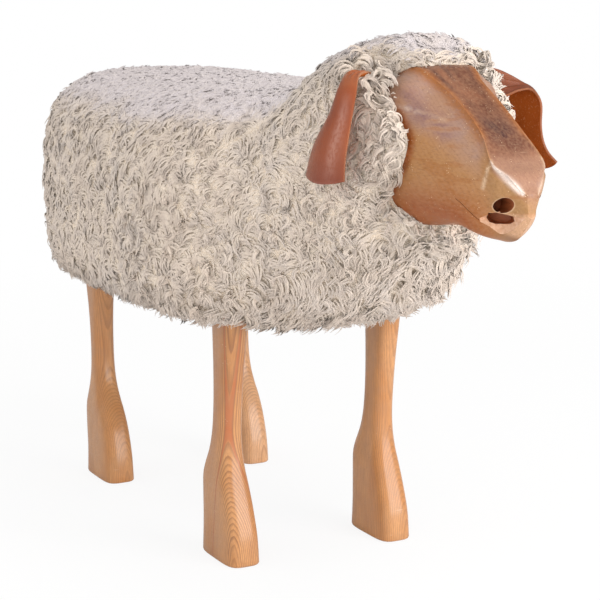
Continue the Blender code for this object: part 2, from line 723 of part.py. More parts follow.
def add_fleece(wool):
    """Add the two sewn parts of the fleece: the body cover and the neck and hood cover."""
    body = add_object("fleece_body", body_form(0.0, last_y=FLEECE_SEAM_Y + GAP), wool, smooth_deg=60)
    hood = add_object("fleece_hood", body_form(0.0, first_y=FLEECE_SEAM_Y - GAP), wool, smooth_deg=60)
    belly = add_box("belly_tool", (-BELLY_HALF_WIDTH, BELLY_FRONT, BELLY_TOOL_BOTTOM),
                    (BELLY_HALF_WIDTH, BELLY_BACK, BASE_BOTTOM + CLOTH_MARGIN))
    for cover, label in ((body, "body"), (hood, "hood")):
        lining = add_object(f"lining_{label}_tool", body_form(SKIN_PILE))
        boards = add_object(f"boards_{label}_tool",
                            board_mesh(BASE_BOTTOM - 2 * GAP, TOP_BOARD_TOP + 2 * GAP, 2 * GAP))
        carve(cover, lining, boards, belly)
    carve(hood, add_object("hood_head_tool", head_mesh(HEAD_ROOM_IN_HOOD)))
    carve(hood, *(ear_slot_tool(f"hood_{side}", sign) for side, sign in SIDES.items()))


def add_belly_cloth(cloth, steel):
    """Add the cloth under the base board and the tacks that hold it."""
    top = BASE_BOTTOM - GAP
    width = BELLY_HALF_WIDTH - CLOTH_MARGIN
    sheet = add_box("belly_cloth",
                    (-width, BELLY_FRONT + CLOTH_MARGIN, top - CLOTH_THICKNESS),
                    (width, BELLY_BACK - CLOTH_MARGIN, top), cloth)
    for side in SIDES:
        for end in ENDS:
            place = tenon_place(side, end)
            low = place + Vector((-LEG_HOLE_HALF_WIDTH, -LEG_HOLE_HALF_LENGTH, top - OVERSHOOT))
            high = place + Vector((LEG_HOLE_HALF_WIDTH, LEG_HOLE_HALF_LENGTH, top + OVERSHOOT))
            carve(sheet, add_box(f"cloth_hole_{end}_{side}_tool", low, high))
    under = top - CLOTH_THICKNESS - GAP
    for side, sign in SIDES.items():
        for number in range(TACKS_PER_SIDE):
            x = sign * (BELLY_HALF_WIDTH - TACK_MARGIN)
            y = LEG_CENTRE_Y + TACK_PITCH * (number - (TACKS_PER_SIDE - 1) / 2)
            bm = bmesh.new()
            place = Matrix.Translation((x, y, under - TACK_HEIGHT / 2))
            bmesh.ops.create_cone(bm, cap_ends=True, segments=12, radius1=TACK_RADIUS * 0.6,
                                  radius2=TACK_RADIUS, depth=TACK_HEIGHT, matrix=place)
            add_object(f"belly_tack_{side}_{number + 1}", bm, steel, smooth_deg=40)


def add_ear(side, sign, leather):
    """Add one leather ear, a cupped sheet whose root lies on its hinge line."""
    hinge = Vector((sign * EAR_HINGE_X, EAR_HINGE_Y, EAR_HINGE_Z))
    rows = smooth_rows([front + rear for front, rear in EAR_EDGES], EAR_STEPS)
    bm = bmesh.new()
    grid = []
    for number, row in enumerate(rows):
        front, rear = Vector(row[:3]), Vector(row[3:])
        fade = min(1.0, number / EAR_FADE_ROWS)
        line = []
        for column in range(EAR_COLUMNS):
            t = column / (EAR_COLUMNS - 1)
            point = front.lerp(rear, t)
            point.x += EAR_CUP * fade * (1 - (2 * t - 1) ** 2)
            point.x *= sign
            line.append(bm.verts.new(point - hinge))
        grid.append(line)
    for upper, lower in zip(grid, grid[1:]):
        for column in range(EAR_COLUMNS - 1):
            bm.faces.new((upper[column], upper[column + 1], lower[column + 1], lower[column]))
    ear = add_object(f"ear_{side}", bm, leather, location=hinge, smooth_deg=60)
    sheet = ear.modifiers.new("thickness", "SOLIDIFY")
    sheet.thickness = EAR_THICKNESS
    sheet.offset = 0.0
    sheet.use_even_offset = True
    return ear


def main():
    """Build the whole stool."""
    clear_scene()
    pine = make_material("pine", (0.62, 0.30, 0.11), 0.45)
    rough_pine = make_material("rough_pine", (0.70, 0.47, 0.26), 0.7)
    ply = make_material("plywood", (0.66, 0.45, 0.26), 0.7)
    head_wood = make_material("head_wood", (0.30, 0.14, 0.06), 0.32)
    wool = make_material("wool", (0.72, 0.67, 0.60), 0.95)
    foam = make_material("foam", (0.78, 0.72, 0.55), 0.9)
    cloth = make_material("cloth", (0.10, 0.09, 0.08), 0.9)
    leather = make_material("leather", (0.36, 0.11, 0.05), 0.35)
    steel = make_material("steel", (0.55, 0.55, 0.56), 0.35, metallic=1.0)

    for side in SIDES:
        for end in ENDS:
            add_leg(side, end, pine)
            add_leg_block(side, end, rough_pine)
            add_leg_screw(side, end, steel)
    add_carcass(ply, rough_pine)
    add_neck(rough_pine, rough_pine, steel)
    add_head(head_wood)
    add_pads(foam)
    add_fleece(wool)
    add_belly_cloth(cloth, steel)
    for side, sign in SIDES.items():
        add_ear(side, sign, leather)


if __name__ == "__main__":
    main()
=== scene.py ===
"""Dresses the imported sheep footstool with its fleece, carved wood, leather and steel.

The sheep faces -Y, its right side is at -X, +Z is up, and all sizes are in metres.
"""

import json
import logging
import math
from contextlib import contextmanager
from dataclasses import dataclass, field, replace
from enum import Enum, auto
from typing import Iterable, Iterator

import bpy
import numpy as np
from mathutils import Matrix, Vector
from mathutils.kdtree import KDTree

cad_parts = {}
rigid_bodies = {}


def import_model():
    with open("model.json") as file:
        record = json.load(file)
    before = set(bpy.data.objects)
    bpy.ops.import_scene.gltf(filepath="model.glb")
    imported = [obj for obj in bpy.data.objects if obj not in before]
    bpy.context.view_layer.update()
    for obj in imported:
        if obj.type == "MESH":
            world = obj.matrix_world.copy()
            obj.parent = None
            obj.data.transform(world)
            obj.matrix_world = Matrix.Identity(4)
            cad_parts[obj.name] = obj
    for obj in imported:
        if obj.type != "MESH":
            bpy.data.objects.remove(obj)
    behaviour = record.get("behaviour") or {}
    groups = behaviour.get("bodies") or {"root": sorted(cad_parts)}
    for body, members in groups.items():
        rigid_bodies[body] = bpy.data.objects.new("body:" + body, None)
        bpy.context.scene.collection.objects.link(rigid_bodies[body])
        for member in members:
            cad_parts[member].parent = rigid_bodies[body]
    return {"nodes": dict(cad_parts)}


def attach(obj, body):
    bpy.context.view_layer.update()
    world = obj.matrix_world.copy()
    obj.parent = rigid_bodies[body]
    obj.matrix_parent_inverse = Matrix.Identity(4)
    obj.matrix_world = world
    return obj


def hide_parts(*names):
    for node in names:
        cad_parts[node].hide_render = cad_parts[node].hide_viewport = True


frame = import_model()

LOG = logging.getLogger("footstool")

Colour = tuple[float, float, float]
Point = tuple[float, float, float]
Rows = tuple[tuple[float, ...], ...]
Array = np.ndarray
Piece = bpy.types.Object
Material = bpy.types.Material
Socket = bpy.types.NodeSocket

STOOL = "stool"
BASE_BOTTOM = 0.272
GAP = 0.0003
ORIGIN = (0.0, 0.0, 0.0)
WHITE = (1.0, 1.0, 1.0)
BLACK = (0.0, 0.0, 0.0)
EVEN_STEPS = (0.7548776662, 0.5698402910)


class Worded(Enum):
    """A choice whose word is part of the names of pieces and nodes."""

    @property
    def word(self) -> str:
        """Return the choice's word in a name."""
        return self.name.lower()


class Side(Worded):
    """The two sides of the sheep, as it sees them itself."""

    RIGHT = -1.0
    LEFT = 1.0

    @property
    def mirror(self) -> Array:
        """Return the factors that carry a point at +X to this side."""
        return np.array((self.value, 1.0, 1.0))


class End(Worded):
    """The two pairs of legs."""

    FRONT = -1.0
    REAR = 1.0


# Curves, outlines and noise


def spline(table: Iterable, steps: int) -> Array:
    """Run a smooth curve through the rows of a table.

    Args:
        table: Rows of numbers that the curve passes through.
        steps: How many rows each span between two given rows becomes.

    Returns:
        The rows of the finer table, the given first and last rows among them.
    """
    table = np.asarray(table, float)
    padded = np.vstack([table[:1], table, table[-1:]])
    t = (np.arange(steps) / steps)[:, None]
    rows = []
    for a, b, c, d in zip(padded, padded[1:], padded[2:], padded[3:]):
        rows.append(0.5 * (2 * b + (c - a) * t + (2 * a - 5 * b + 4 * c - d) * t**2
                           + (3 * b - a - 3 * c + d) * t**3))
    return np.vstack([*rows, table[-1:]])


def respaced(points: Array, count: int) -> Array:
    """Return a polyline's points at even distances, ends included."""
    points = np.asarray(points, float)
    reach = np.r_[0.0, np.cumsum(np.linalg.norm(np.diff(points, axis=0), axis=1))]
    wanted = np.linspace(0.0, reach[-1], count)
    return np.stack([np.interp(wanted, reach, column) for column in points.T], axis=1)


def smooth_line(points: Iterable[Point], count: int) -> Array:
    """Return a smooth line through given points, at even distances."""
    return respaced(spline(points, 6), count)


def distance_to(line: Array, points: Array) -> Array:
    """Return how far each point is from the nearest point of a line."""
    return np.min([np.linalg.norm(points - place, axis=1) for place in line], axis=0)


def nearest(places: Array, points: Iterable[Point]) -> tuple[Array, Array]:
    """Find the place that is nearest to each point.

    Args:
        places: The places to choose from.
        points: The points that look for a place.

    Returns:
        The number of each point's place, and its distance.
    """
    tree = KDTree(len(places))
    for index, place in enumerate(places):
        tree.insert(place, index)
    tree.balance()
    numbers, distances = zip(*(tree.find(point)[1:] for point in points))
    return np.array(numbers), np.array(distances)


def smoothstep(value: Array, low: float, high: float) -> Array:
    """Return 0 below low, 1 above high and an eased rise between them."""
    t = np.clip((value - low) / (high - low), 0.0, 1.0)
    return t * t * (3 - 2 * t)


def bell(value: Array, width: float) -> Array:
    """Return 1 where the value is nought, falling to 0 beyond the width."""
    return np.exp(-(value / width)**2)


def lumps(points: Array, size: float, seed: int) -> Array:
    """Return repeatable smooth noise at points.

    Args:
        points: Places in metres, one to a row.
        size: The width of one lump, in metres.
        seed: Which pattern of lumps is meant.

    Returns:
        One number from -1 to 1 for each point.
    """
    scaled = points / size
    cell = np.floor(scaled).astype(np.int64)
    part = scaled - cell
    part = part * part * (3 - 2 * part)
    total = np.zeros(len(points))
    for corner in range(8):
        offset = np.array([(corner >> axis) & 1 for axis in range(3)])
        weight = np.prod(np.where(offset == 1, part, 1 - part), axis=1)
        key = cell + offset
        mixed = key[:, 0] * 73856093 ^ key[:, 1] * 19349663 ^ key[:, 2] * 83492791
        mixed = ((mixed + seed * 7919) ^ (mixed >> 11)) * 1274126177 & 0x7FFFFFFF
        mixed = (mixed ^ (mixed >> 15)) * 668265263 & 0x7FFFFFFF
        total += weight * ((mixed >> 8) % 32768 / 16384.0 - 1.0)
    return total


def unit(vectors: Array) -> Array:
    """Return vectors at length one."""
    length = np.linalg.norm(vectors, axis=-1, keepdims=True)
    return vectors / np.maximum(length, 1e-9)


# Modelling by operator


def deselect() -> None:
    """Leave edit mode and select nothing."""
    if bpy.context.object is not None and bpy.context.object.mode != "OBJECT":
        bpy.ops.object.mode_set(mode="OBJECT")
    bpy.ops.object.select_all(action="DESELECT")


def take(piece: Piece) -> None:
    """Make one piece the only selected and active one."""
    deselect()
    piece.select_set(True)
    bpy.context.view_layer.objects.active = piece


@contextmanager
def edited(piece: Piece) -> Iterator[None]:
    """Hold a piece in edit mode with its whole mesh selected.

    Args:
        piece: The piece to edit.
    """
    take(piece)
    bpy.ops.object.mode_set(mode="EDIT")
    bpy.ops.mesh.select_all(action="SELECT")
    yield
    bpy.ops.object.mode_set(mode="OBJECT")


def named(name: str) -> Piece:
    """Name the piece that an operator has just added, and its mesh."""
    piece = bpy.context.object
    piece.name = name
    piece.data.name = name
    return piece


def settle(piece: Piece) -> Piece:
    """Apply a piece's place, turn and size to its mesh."""
    take(piece)
    bpy.ops.object.transform_apply(location=True, rotation=True, scale=True)
    return piece


def finish_modifiers(piece: Piece) -> None:
    """Apply all modifiers of a piece, in order."""
    take(piece)
    for modifier in list(piece.modifiers):
        bpy.ops.object.modifier_apply(modifier=modifier.name)


def add_wall(piece: Piece, thickness: float, offset: float) -> bpy.types.Modifier:
    """Add a modifier that gives a sheet its thickness."""
    wall = piece.modifiers.new("wall", "SOLIDIFY")
    wall.thickness = thickness
    wall.offset = offset
    return wall


def wrap_grid(name: str, points: Array, closed: bool = True, capped: bool = True) -> Piece:
    """Lay a grid primitive over rows of points.

    Args:
        name: The piece's name.
        points: An array of rows by columns by three.
        closed: Whether each row is a ring whose last point meets its first.
        capped: Whether the open ends of closed rings are filled.

    Returns:
        The new piece, with its faces pointing outwards and the grid's own UV map.
    """
    if closed:
        points = np.concatenate([points, points[:, :1]], axis=1)
    rows, columns = points.shape[:2]
    deselect()
    bpy.ops.mesh.primitive_grid_add(x_subdivisions=columns - 1, y_subdivisions=rows - 1, size=2.0)
    piece = named(name)
    flat = np.empty(len(piece.data.vertices) * 3)
    piece.data.vertices.foreach_get("co", flat)
    flat = flat.reshape(-1, 3)
    column = np.rint((flat[:, 0] + 1) / 2 * (columns - 1)).astype(int)
    row = np.rint((flat[:, 1] + 1) / 2 * (rows - 1)).astype(int)
    piece.data.vertices.foreach_set("co", points[row, column].ravel())
    piece.data.update()
    if closed:
        with edited(piece):
            bpy.ops.mesh.remove_doubles(threshold=0.00001)
            if capped:
                bpy.ops.mesh.fill_holes(sides=0)
        face_out(piece)
    return piece


def face_out(piece: Piece) -> None:
    """Turn a piece's faces outwards, by the volume that they hold.

    Args:
        piece: A closed piece.
    """
    with edited(piece):
        bpy.ops.mesh.normals_make_consistent(inside=False)
    faces = piece.data.polygons
    centre = sum((face.center for face in faces), Vector()) / len(faces)
    if sum((face.center - centre).dot(face.normal) * face.area for face in faces) < 0:
        turn_over(piece)


def turn_over(piece: Piece) -> None:
    """Turn all faces of a piece round."""
    with edited(piece):
        bpy.ops.mesh.flip_normals()


def smooth(piece: Piece, degrees: float = 180.0) -> None:
    """Shade a piece smooth, keeping edges sharper than the angle.

    Args:
        piece: The piece to shade.
        degrees: The angle from which an edge stays sharp.
    """
    take(piece)
    if degrees >= 180.0:
        bpy.ops.object.shade_smooth()
    else:
        bpy.ops.object.shade_smooth_by_angle(angle=math.radians(degrees))


def cut(piece: Piece, tool: Piece, lining: Material | None = None) -> None:
    """Cut a tool out of a piece and remove the tool.

    Args:
        piece: The piece that is cut.
        tool: The closed shape that is taken away.
        lining: The finish of the cut's own faces, or None for the piece's own.
    """
    modifier = piece.modifiers.new(tool.name, "BOOLEAN")
    modifier.operation = "DIFFERENCE"
    modifier.solver = "EXACT"
    modifier.object = tool
    if lining is not None:
        dress(tool, lining)
        modifier.material_mode = "TRANSFER"
    finish_modifiers(piece)
    bpy.data.objects.remove(tool, do_unlink=True)


def add_bore(name: str, start: Vector, end: Vector, radius: float, sides: int = 32) -> Piece:
    """Add a round cutting tool from one point to another.

    Args:
        name: The tool's name.
        start: The middle of its first end.
        end: The middle of its other end.
        radius: Its radius.
        sides: How many sides its round has.

    Returns:
        The tool.
    """
    axis = end - start
    deselect()
    bpy.ops.mesh.primitive_cylinder_add(
        vertices=sides, radius=radius, depth=axis.length, location=(start + end) / 2,
        rotation=axis.to_track_quat("Z", "Y").to_euler())
    return settle(named(name))


def add_box(name: str, centre: Iterable[float], size: Iterable[float]) -> Piece:
    """Add a box about its centre, as a cutting tool."""
    deselect()
    bpy.ops.mesh.primitive_cube_add(size=1.0, location=tuple(centre), scale=tuple(size))
    return settle(named(name))


def dress(piece: Piece, *materials: Material) -> Piece:
    """Give a piece its materials, in slot order."""
    piece.data.materials.clear()
    for material in materials:
        piece.data.materials.append(material)
    return piece


def store(mesh: bpy.types.Mesh, name: str, values: Array) -> None:
    """Keep a number, or a colour of four, for each point of a mesh."""
    kind, key = ("FLOAT", "value") if values.ndim == 1 else ("FLOAT_COLOR", "color")
    mesh.attributes.new(name, kind, "POINT").data.foreach_set(key, values.ravel())


def hand_over(piece: Piece, slot: str, *nodes: str, body: str = STOOL) -> None:
    """Let a finished piece ride on its body and stand for its nodes.

    Args:
        piece: The finished piece.
        slot: The record's material slot of its finish; not used.
        nodes: The CAD nodes that it stands for, if any.
        body: The CAD body that it moves with.
    """
    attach(piece, body)
    if nodes:
        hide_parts(*nodes)
    LOG.info("%s: %d faces on %s", piece.name, len(piece.data.polygons), body)


# Materials


class Wiring:
    """Places and joins the nodes of one shader tree with short calls."""

    def __init__(self, tree: bpy.types.NodeTree) -> None:
        """Keep the tree that the nodes go into."""
        self.tree = tree

    def node(self, kind: str, **settings: object) -> bpy.types.Node:
        """Add a node and set its own properties."""
        made = self.tree.nodes.new(kind)
        for name, value in settings.items():
            setattr(made, name, value)
        return made

    def feed(self, socket: Socket, value: object) -> None:
        """Link a socket to another, or set its value.

        Args:
            socket: The input.
            value: What it is given: a socket, a number, a vector or a colour.
        """
        if isinstance(value, Socket):
            self.tree.links.new(value, socket)
        elif socket.type == "RGBA" and len(value) == 3:
            socket.default_value = (*value, 1.0)
        else:
            socket.default_value = value

    def fill(self, node: bpy.types.Node, values: dict[str, object]) -> bpy.types.NodeOutputs:
        """Feed a node's inputs by name and return its outputs."""
        for name, value in values.items():
            self.feed(node.inputs[name], value)
        return node.outputs

    def math(self, operation: str, *numbers: object) -> Socket:
        """Work out one number from others."""
        made = self.node("ShaderNodeMath", operation=operation)
        for socket, value in zip(made.inputs, numbers):
            self.feed(socket, value)
        return made.outputs[0]

    def times(self, first: object, second: object) -> Socket:
        """Multiply two numbers."""
        return self.math("MULTIPLY", first, second)

    def plus(self, first: object, second: object) -> Socket:
        """Add two numbers."""
        return self.math("ADD", first, second)

    def minus(self, first: object, second: object) -> Socket:
        """Take the second number from the first."""
        return self.math("SUBTRACT", first, second)

    def vector(self, operation: str, first: object, second: object = ORIGIN) -> Socket:
        """Work out one vector from two, or a vector's length."""
        made = self.node("ShaderNodeVectorMath", operation=operation)
        self.feed(made.inputs[0], first)
        self.feed(made.inputs[1], second)
        return made.outputs["Value" if operation == "LENGTH" else "Vector"]

    def here(self) -> Socket:
        """Read the place on the object."""
        return self.node("ShaderNodeTexCoord").outputs["Object"]

    def held(self, attribute: str) -> bpy.types.NodeOutputs:
        """Read what the mesh keeps for each point."""
        return self.node("ShaderNodeAttribute", attribute_name=attribute).outputs

    def axes(self, vector: object) -> bpy.types.NodeOutputs:
        """Take a vector apart into X, Y and Z."""
        return self.fill(self.node("ShaderNodeSeparateXYZ"), {"Vector": vector})

    def channels(self, colour: object) -> bpy.types.NodeOutputs:
        """Take a colour apart into Red, Green and Blue."""
        return self.fill(self.node("ShaderNodeSeparateColor"), {"Color": colour})

    def joined(self, **axes: object) -> Socket:
        """Join X, Y and Z into a vector."""
        return self.fill(self.node("ShaderNodeCombineXYZ"), axes)["Vector"]

    def place(self, at: object, scale: Point = (1.0, 1.0, 1.0), shift: Point = ORIGIN,
              turn: Point = ORIGIN) -> Socket:
        """Shift, turn and stretch a pattern's coordinates."""
        return self.fill(self.node("ShaderNodeMapping"), {
            "Vector": at, "Location": shift, "Rotation": turn, "Scale": scale})["Vector"]

    def noise(self, at: object, scale: object, detail: float = 2.0, roughness: float = 0.5,
              distortion: float = 0.0) -> Socket:
        """Read cloudy noise from about 0 to 1."""
        return self.fill(self.node("ShaderNodeTexNoise", noise_dimensions="3D"), {
            "Vector": at, "Scale": scale, "Detail": detail, "Roughness": roughness,
            "Distortion": distortion})["Fac"]

    def cells(self, at: object, scale: object, feature: str = "F1") -> Socket:
        """Read the distance to the nearest cell point or edge."""
        return self.fill(self.node("ShaderNodeTexVoronoi", feature=feature), {
            "Vector": at, "Scale": scale})["Distance"]

    def span(self, value: object, low: float, high: float, start: object = 0.0, end: object = 1.0) -> Socket:
        """Carry a number from one range to another, clamped and eased."""
        made = self.node("ShaderNodeMapRange", interpolation_type="SMOOTHSTEP")
        for socket, number in zip(made.inputs, (value, low, high, start, end)):
            self.feed(socket, number)
        return made.outputs["Result"]

    def mix(self, share: object, first: object, second: object, blend: str = "MIX") -> Socket:
        """Mix two colours.

        Args:
            share: The second colour's share.
            first: One colour.
            second: The other.
            blend: How the second is laid over the first.

        Returns:
            The mixed colour.
        """
        made = self.node("ShaderNodeMix", data_type="RGBA", blend_type=blend, clamp_factor=True)
        self.feed(made.inputs["Factor"], share)
        self.feed(made.inputs[6], first)
        self.feed(made.inputs[7], second)
        return made.outputs[2]

    def layers(self, colour: object, *laid: tuple[object, object]) -> object:
        """Lay colours over a first one, each where its mask says."""
        for mask, tone in laid:
            colour = self.mix(mask, colour, tone)
        return colour

    def shaded(self, colour: object, shade: object) -> Socket:
        """Make a colour darker or lighter by one factor."""
        grey = self.fill(self.node("ShaderNodeCombineColor"), dict.fromkeys(("Red", "Green", "Blue"), shade))
        return self.mix(1.0, colour, grey["Color"], "MULTIPLY")

    def bump(self, height: object, distance: float, strength: float) -> Socket:
        """Turn a height into a bent normal."""
        return self.fill(self.node("ShaderNodeBump"), {
            "Height": height, "Distance": distance, "Strength": strength})["Normal"]

    def use(self, group: "Effect", at: object, **inputs: object) -> bpy.types.NodeOutputs:
        """Place a shared effect with its own values and return what it puts out."""
        return self.fill(self.node("ShaderNodeGroup", node_tree=group.tree()), {"Vector": at, **inputs})


class Effect(Enum):
    """The shader node groups that several finishes share."""

    GRAIN = "Wood Grain"
    SCRATCHES = "Fine Scratches"
    FIBRE = "Wool Fibre"
    CURLS = "Wool Curls"
    CLOUDS = "Soft Clouds"

    def tree(self) -> bpy.types.NodeTree:
        """Return the effect's node group, built the first time.

        Returns:
            The group.
        """
        found = bpy.data.node_groups.get(self.value)
        if found is None:
            found = bpy.data.node_groups.new(self.value, "ShaderNodeTree")
            {Effect.GRAIN: build_grain, Effect.SCRATCHES: build_scratches,
             Effect.FIBRE: build_fibre, Effect.CURLS: build_curls, Effect.CLOUDS: build_clouds}[self](found)
        return found


def open_group(tree: bpy.types.NodeTree, inputs: dict[str, float],
               outputs: Iterable[str]) -> tuple[Wiring, bpy.types.NodeOutputs, bpy.types.Node]:
    """Give a node group its sockets, the first of them a vector.

    Args:
        tree: The empty group.
        inputs: Each further input's name with its default.
        outputs: The names of the outputs, all numbers.

    Returns:
        The wiring, what the group is given, and its output node.
    """
    for name, default in {"Vector": ORIGIN, **inputs}.items():
        kind = "NodeSocketFloat" if isinstance(default, float) else "NodeSocketVector"
        tree.interface.new_socket(name, in_out="INPUT", socket_type=kind).default_value = default
    for name in outputs:
        tree.interface.new_socket(name, in_out="OUTPUT", socket_type="NodeSocketFloat")
    wiring = Wiring(tree)
    return wiring, wiring.node("NodeGroupInput").outputs, wiring.node("NodeGroupOutput")


def build_grain(tree: bpy.types.NodeTree) -> None:
    """Build growth rings round an upright pith, with fibres along it.

    Args:
        tree: The empty group.
    """
    w, given, out = open_group(tree, {"Ring": 0.0016, "Wobble": 0.0012, "Seed": 0.0},
                               ("Late", "Fibre", "Radius", "Tone"))
    at = given["Vector"]
    seeded = w.vector("ADD", at, w.joined(Z=given["Seed"]))
    slow = w.noise(w.place(seeded, scale=(30.0, 30.0, 7.0)), 1.0)
    flat = w.vector("LENGTH", w.vector("MULTIPLY", at, (1.0, 1.0, 0.0)))
    radius = w.plus(flat, w.times(w.minus(slow, 0.5), given["Wobble"]))
    turn = w.math("DIVIDE", radius, given["Ring"])
    part = w.math("FRACT", turn)
    ripened = w.times(w.span(part, 0.35, 0.86), w.span(part, 0.90, 1.0, 1.0, 0.0))
    year = w.noise(w.math("FLOOR", turn), 0.37, 1.0)
    w.fill(out, {
        "Late": w.times(ripened, w.span(year, 0.25, 0.75, 0.45, 1.0)),
        "Fibre": w.noise(w.place(seeded, scale=(1400.0, 1400.0, 38.0)), 1.0, 3.0, 0.6),
        "Radius": radius,
        "Tone": w.noise(w.place(seeded, scale=(26.0, 26.0, 9.0)), 1.0, 3.0)})


def build_scratches(tree: bpy.types.NodeTree) -> None:
    """Build thin pale scratches and small specks, for surfaces that have been handled for years.

    Args:
        tree: The empty group.
    """
    w, given, out = open_group(tree, {"Scale": 1.0}, ("Lines", "Specks"))
    enlarged = w.node("ShaderNodeVectorMath", operation="SCALE")
    at = w.fill(enlarged, {"Vector": given["Vector"], "Scale": given["Scale"]})["Vector"]
    lines = 0.0
    for turn, shift in (((0.3, 0.5, 0.2), 0.0), ((1.1, -0.4, 0.9), 3.0), ((-0.7, 0.9, 2.0), 7.0)):
        streak = w.noise(w.place(at, (22.0, 420.0, 420.0), (shift, 0.0, 0.0), turn), 1.0, 1.0)
        lines = w.math("MAXIMUM", lines, w.span(streak, 0.73, 0.78))
    handled = w.span(w.noise(at, 30.0), 0.50, 0.62)
    pitted = w.span(w.noise(at, 90.0), 0.55, 0.63)
    w.fill(out, {"Lines": w.times(lines, handled),
                 "Specks": w.times(w.span(w.cells(at, 360.0), 0.20, 0.12), pitted)})


def build_fibre(tree: bpy.types.NodeTree) -> None:
    """Build fine wool fibres that run along a lock's own UV map.

    Args:
        tree: The empty group.
    """
    w, given, out = open_group(tree, {"Count": 9.0}, ("Streak",))
    uv = w.axes(given["Vector"])
    along = w.joined(X=w.times(uv["X"], given["Count"]), Y=w.times(uv["Y"], 2.2))
    w.fill(out, {"Streak": w.noise(along, 1.0, 2.0, 0.55, 0.4)})


def build_curls(tree: bpy.types.NodeTree) -> None:
    """Build small swirled curls of wool: warped rings inside uneven cells.

    Args:
        tree: The empty group.
    """
    w, given, out = open_group(tree, {"Size": 0.011, "Rings": 4.0}, ("Height",))
    at = given["Vector"]
    warp = w.fill(w.node("ShaderNodeTexNoise"), {"Vector": at, "Scale": 95.0})["Color"]
    swirl = w.vector("MULTIPLY", w.vector("SUBTRACT", warp, (0.5, 0.5, 0.5)), (0.016, 0.016, 0.016))
    reach = w.cells(w.vector("ADD", at, swirl), w.math("DIVIDE", 1.0, given["Size"]))
    turn = w.times(w.times(reach, given["Rings"]), 2 * math.pi)
    ridge = w.plus(w.times(w.math("SINE", turn), 0.5), 0.5)
    w.fill(out, {"Height": w.plus(w.times(ridge, 0.55), w.span(reach, 0.15, 0.75, 0.45, 0.0))})


def build_clouds(tree: bpy.types.NodeTree) -> None:
    """Build three sizes of soft clouding for uneven colour.

    Args:
        tree: The empty group.
    """
    w, given, out = open_group(tree, {"Scale": 1.0}, ("Large", "Middle", "Small"))
    for name, scale, detail in (("Large", 9.0, 2.0), ("Middle", 38.0, 3.0), ("Small", 260.0, 3.0)):
        reading = w.noise(given["Vector"], w.times(given["Scale"], scale), detail, 0.55)
        w.feed(out.inputs[name], w.span(reading, 0.3, 0.7))


def open_material(name: str) -> tuple[Material, Wiring, bpy.types.Node]:
    """Add a node material and return it with its wiring and its Principled shader."""
    made = bpy.data.materials.new(name)
    made.use_nodes = True
    return made, Wiring(made.node_tree), made.node_tree.nodes["Principled BSDF"]


@dataclass(frozen=True)
class SheepsWool:
    """What all the wool shares: wool painted darker on the crown, partly dusty and partly painted shade, and a
    weak warm painted glow that stands in for light scattered inside the fleece.
    """

    crown: tuple[float, float] = (0.480, 0.525)
    crown_shade: float = 0.82
    # Painted glow: the wool emits a faint warm light that stands in for light scattered inside the fleece.
    glow: Colour = (1.0, 0.76, 0.52)
    glow_strength: float = 0.055

    def dust(self, w: Wiring, at: Socket) -> Socket:
        """Return how much darker the crown's wool is painted, partly dusty wool and partly painted shade."""
        return w.span(w.axes(at)["Z"], *self.crown, 1.0, self.crown_shade)


@dataclass(frozen=True)
class WoolFinish(SheepsWool):
    """The locks: paler and warmer at the root, partly cleaner wool and partly painted light that lifts the shade
    between the strands; dustier at the tip, cooler where they lie matted.
    """

    name: str = "wool"
    root: Colour = (0.92, 0.79, 0.67)
    tip: Colour = (0.80, 0.695, 0.62)
    matted: Colour = (0.81, 0.73, 0.74)
    stain: Colour = (0.70, 0.55, 0.43)
    matted_root: Colour = (0.88, 0.80, 0.80)
    fibres: float = 7.0
    relief: float = 0.0005

    def material(self) -> Material:
        """Build the finish from the lock's own reach, tint and matting.

        Returns:
            The material.
        """
        made, w, shader = open_material(self.name)
        parts = w.channels(w.held("wool")["Color"])
        reach, tint, matting = parts["Red"], parts["Green"], parts["Blue"]
        at = w.here()
        clouds = w.use(Effect.CLOUDS, at)
        streak = w.use(Effect.FIBRE, w.node("ShaderNodeUVMap", uv_map="Strand").outputs["UV"],
                       Count=self.fibres)["Streak"]
        tip = w.layers(self.tip, (w.times(clouds["Large"], 0.30), self.stain),
                       (w.times(matting, 0.92), self.matted),
                       (w.times(clouds["Middle"], w.minus(0.42, w.times(matting, 0.36))), self.stain))
        # Paler roots: partly cleaner wool, partly painted light against the shade between the strands.
        root = w.mix(w.times(matting, 0.85), self.root, self.matted_root)
        # The crown is darker, partly dusty wool and partly painted shade.
        shade = w.times(w.plus(0.93, w.times(tint, 0.09)), self.dust(w, at))
        w.fill(shader, {
            "Base Color": w.shaded(w.mix(w.span(reach, 0.05, 0.85), root, tip),
                                   w.times(shade, w.span(streak, 0.32, 0.62, 0.93, 1.02))),
            "Normal": w.bump(streak, self.relief, 0.5),
            # Painted glow, strongest at the roots, standing in for light scattered inside the fleece.
            "Emission Color": w.mix(w.span(reach, 0.0, 0.75), self.glow, BLACK),
            "Emission Strength": self.glow_strength, "Roughness": 0.92, "Specular IOR Level": 0.25,
            "Sheen Weight": 0.10, "Sheen Roughness": 0.5})
        return made


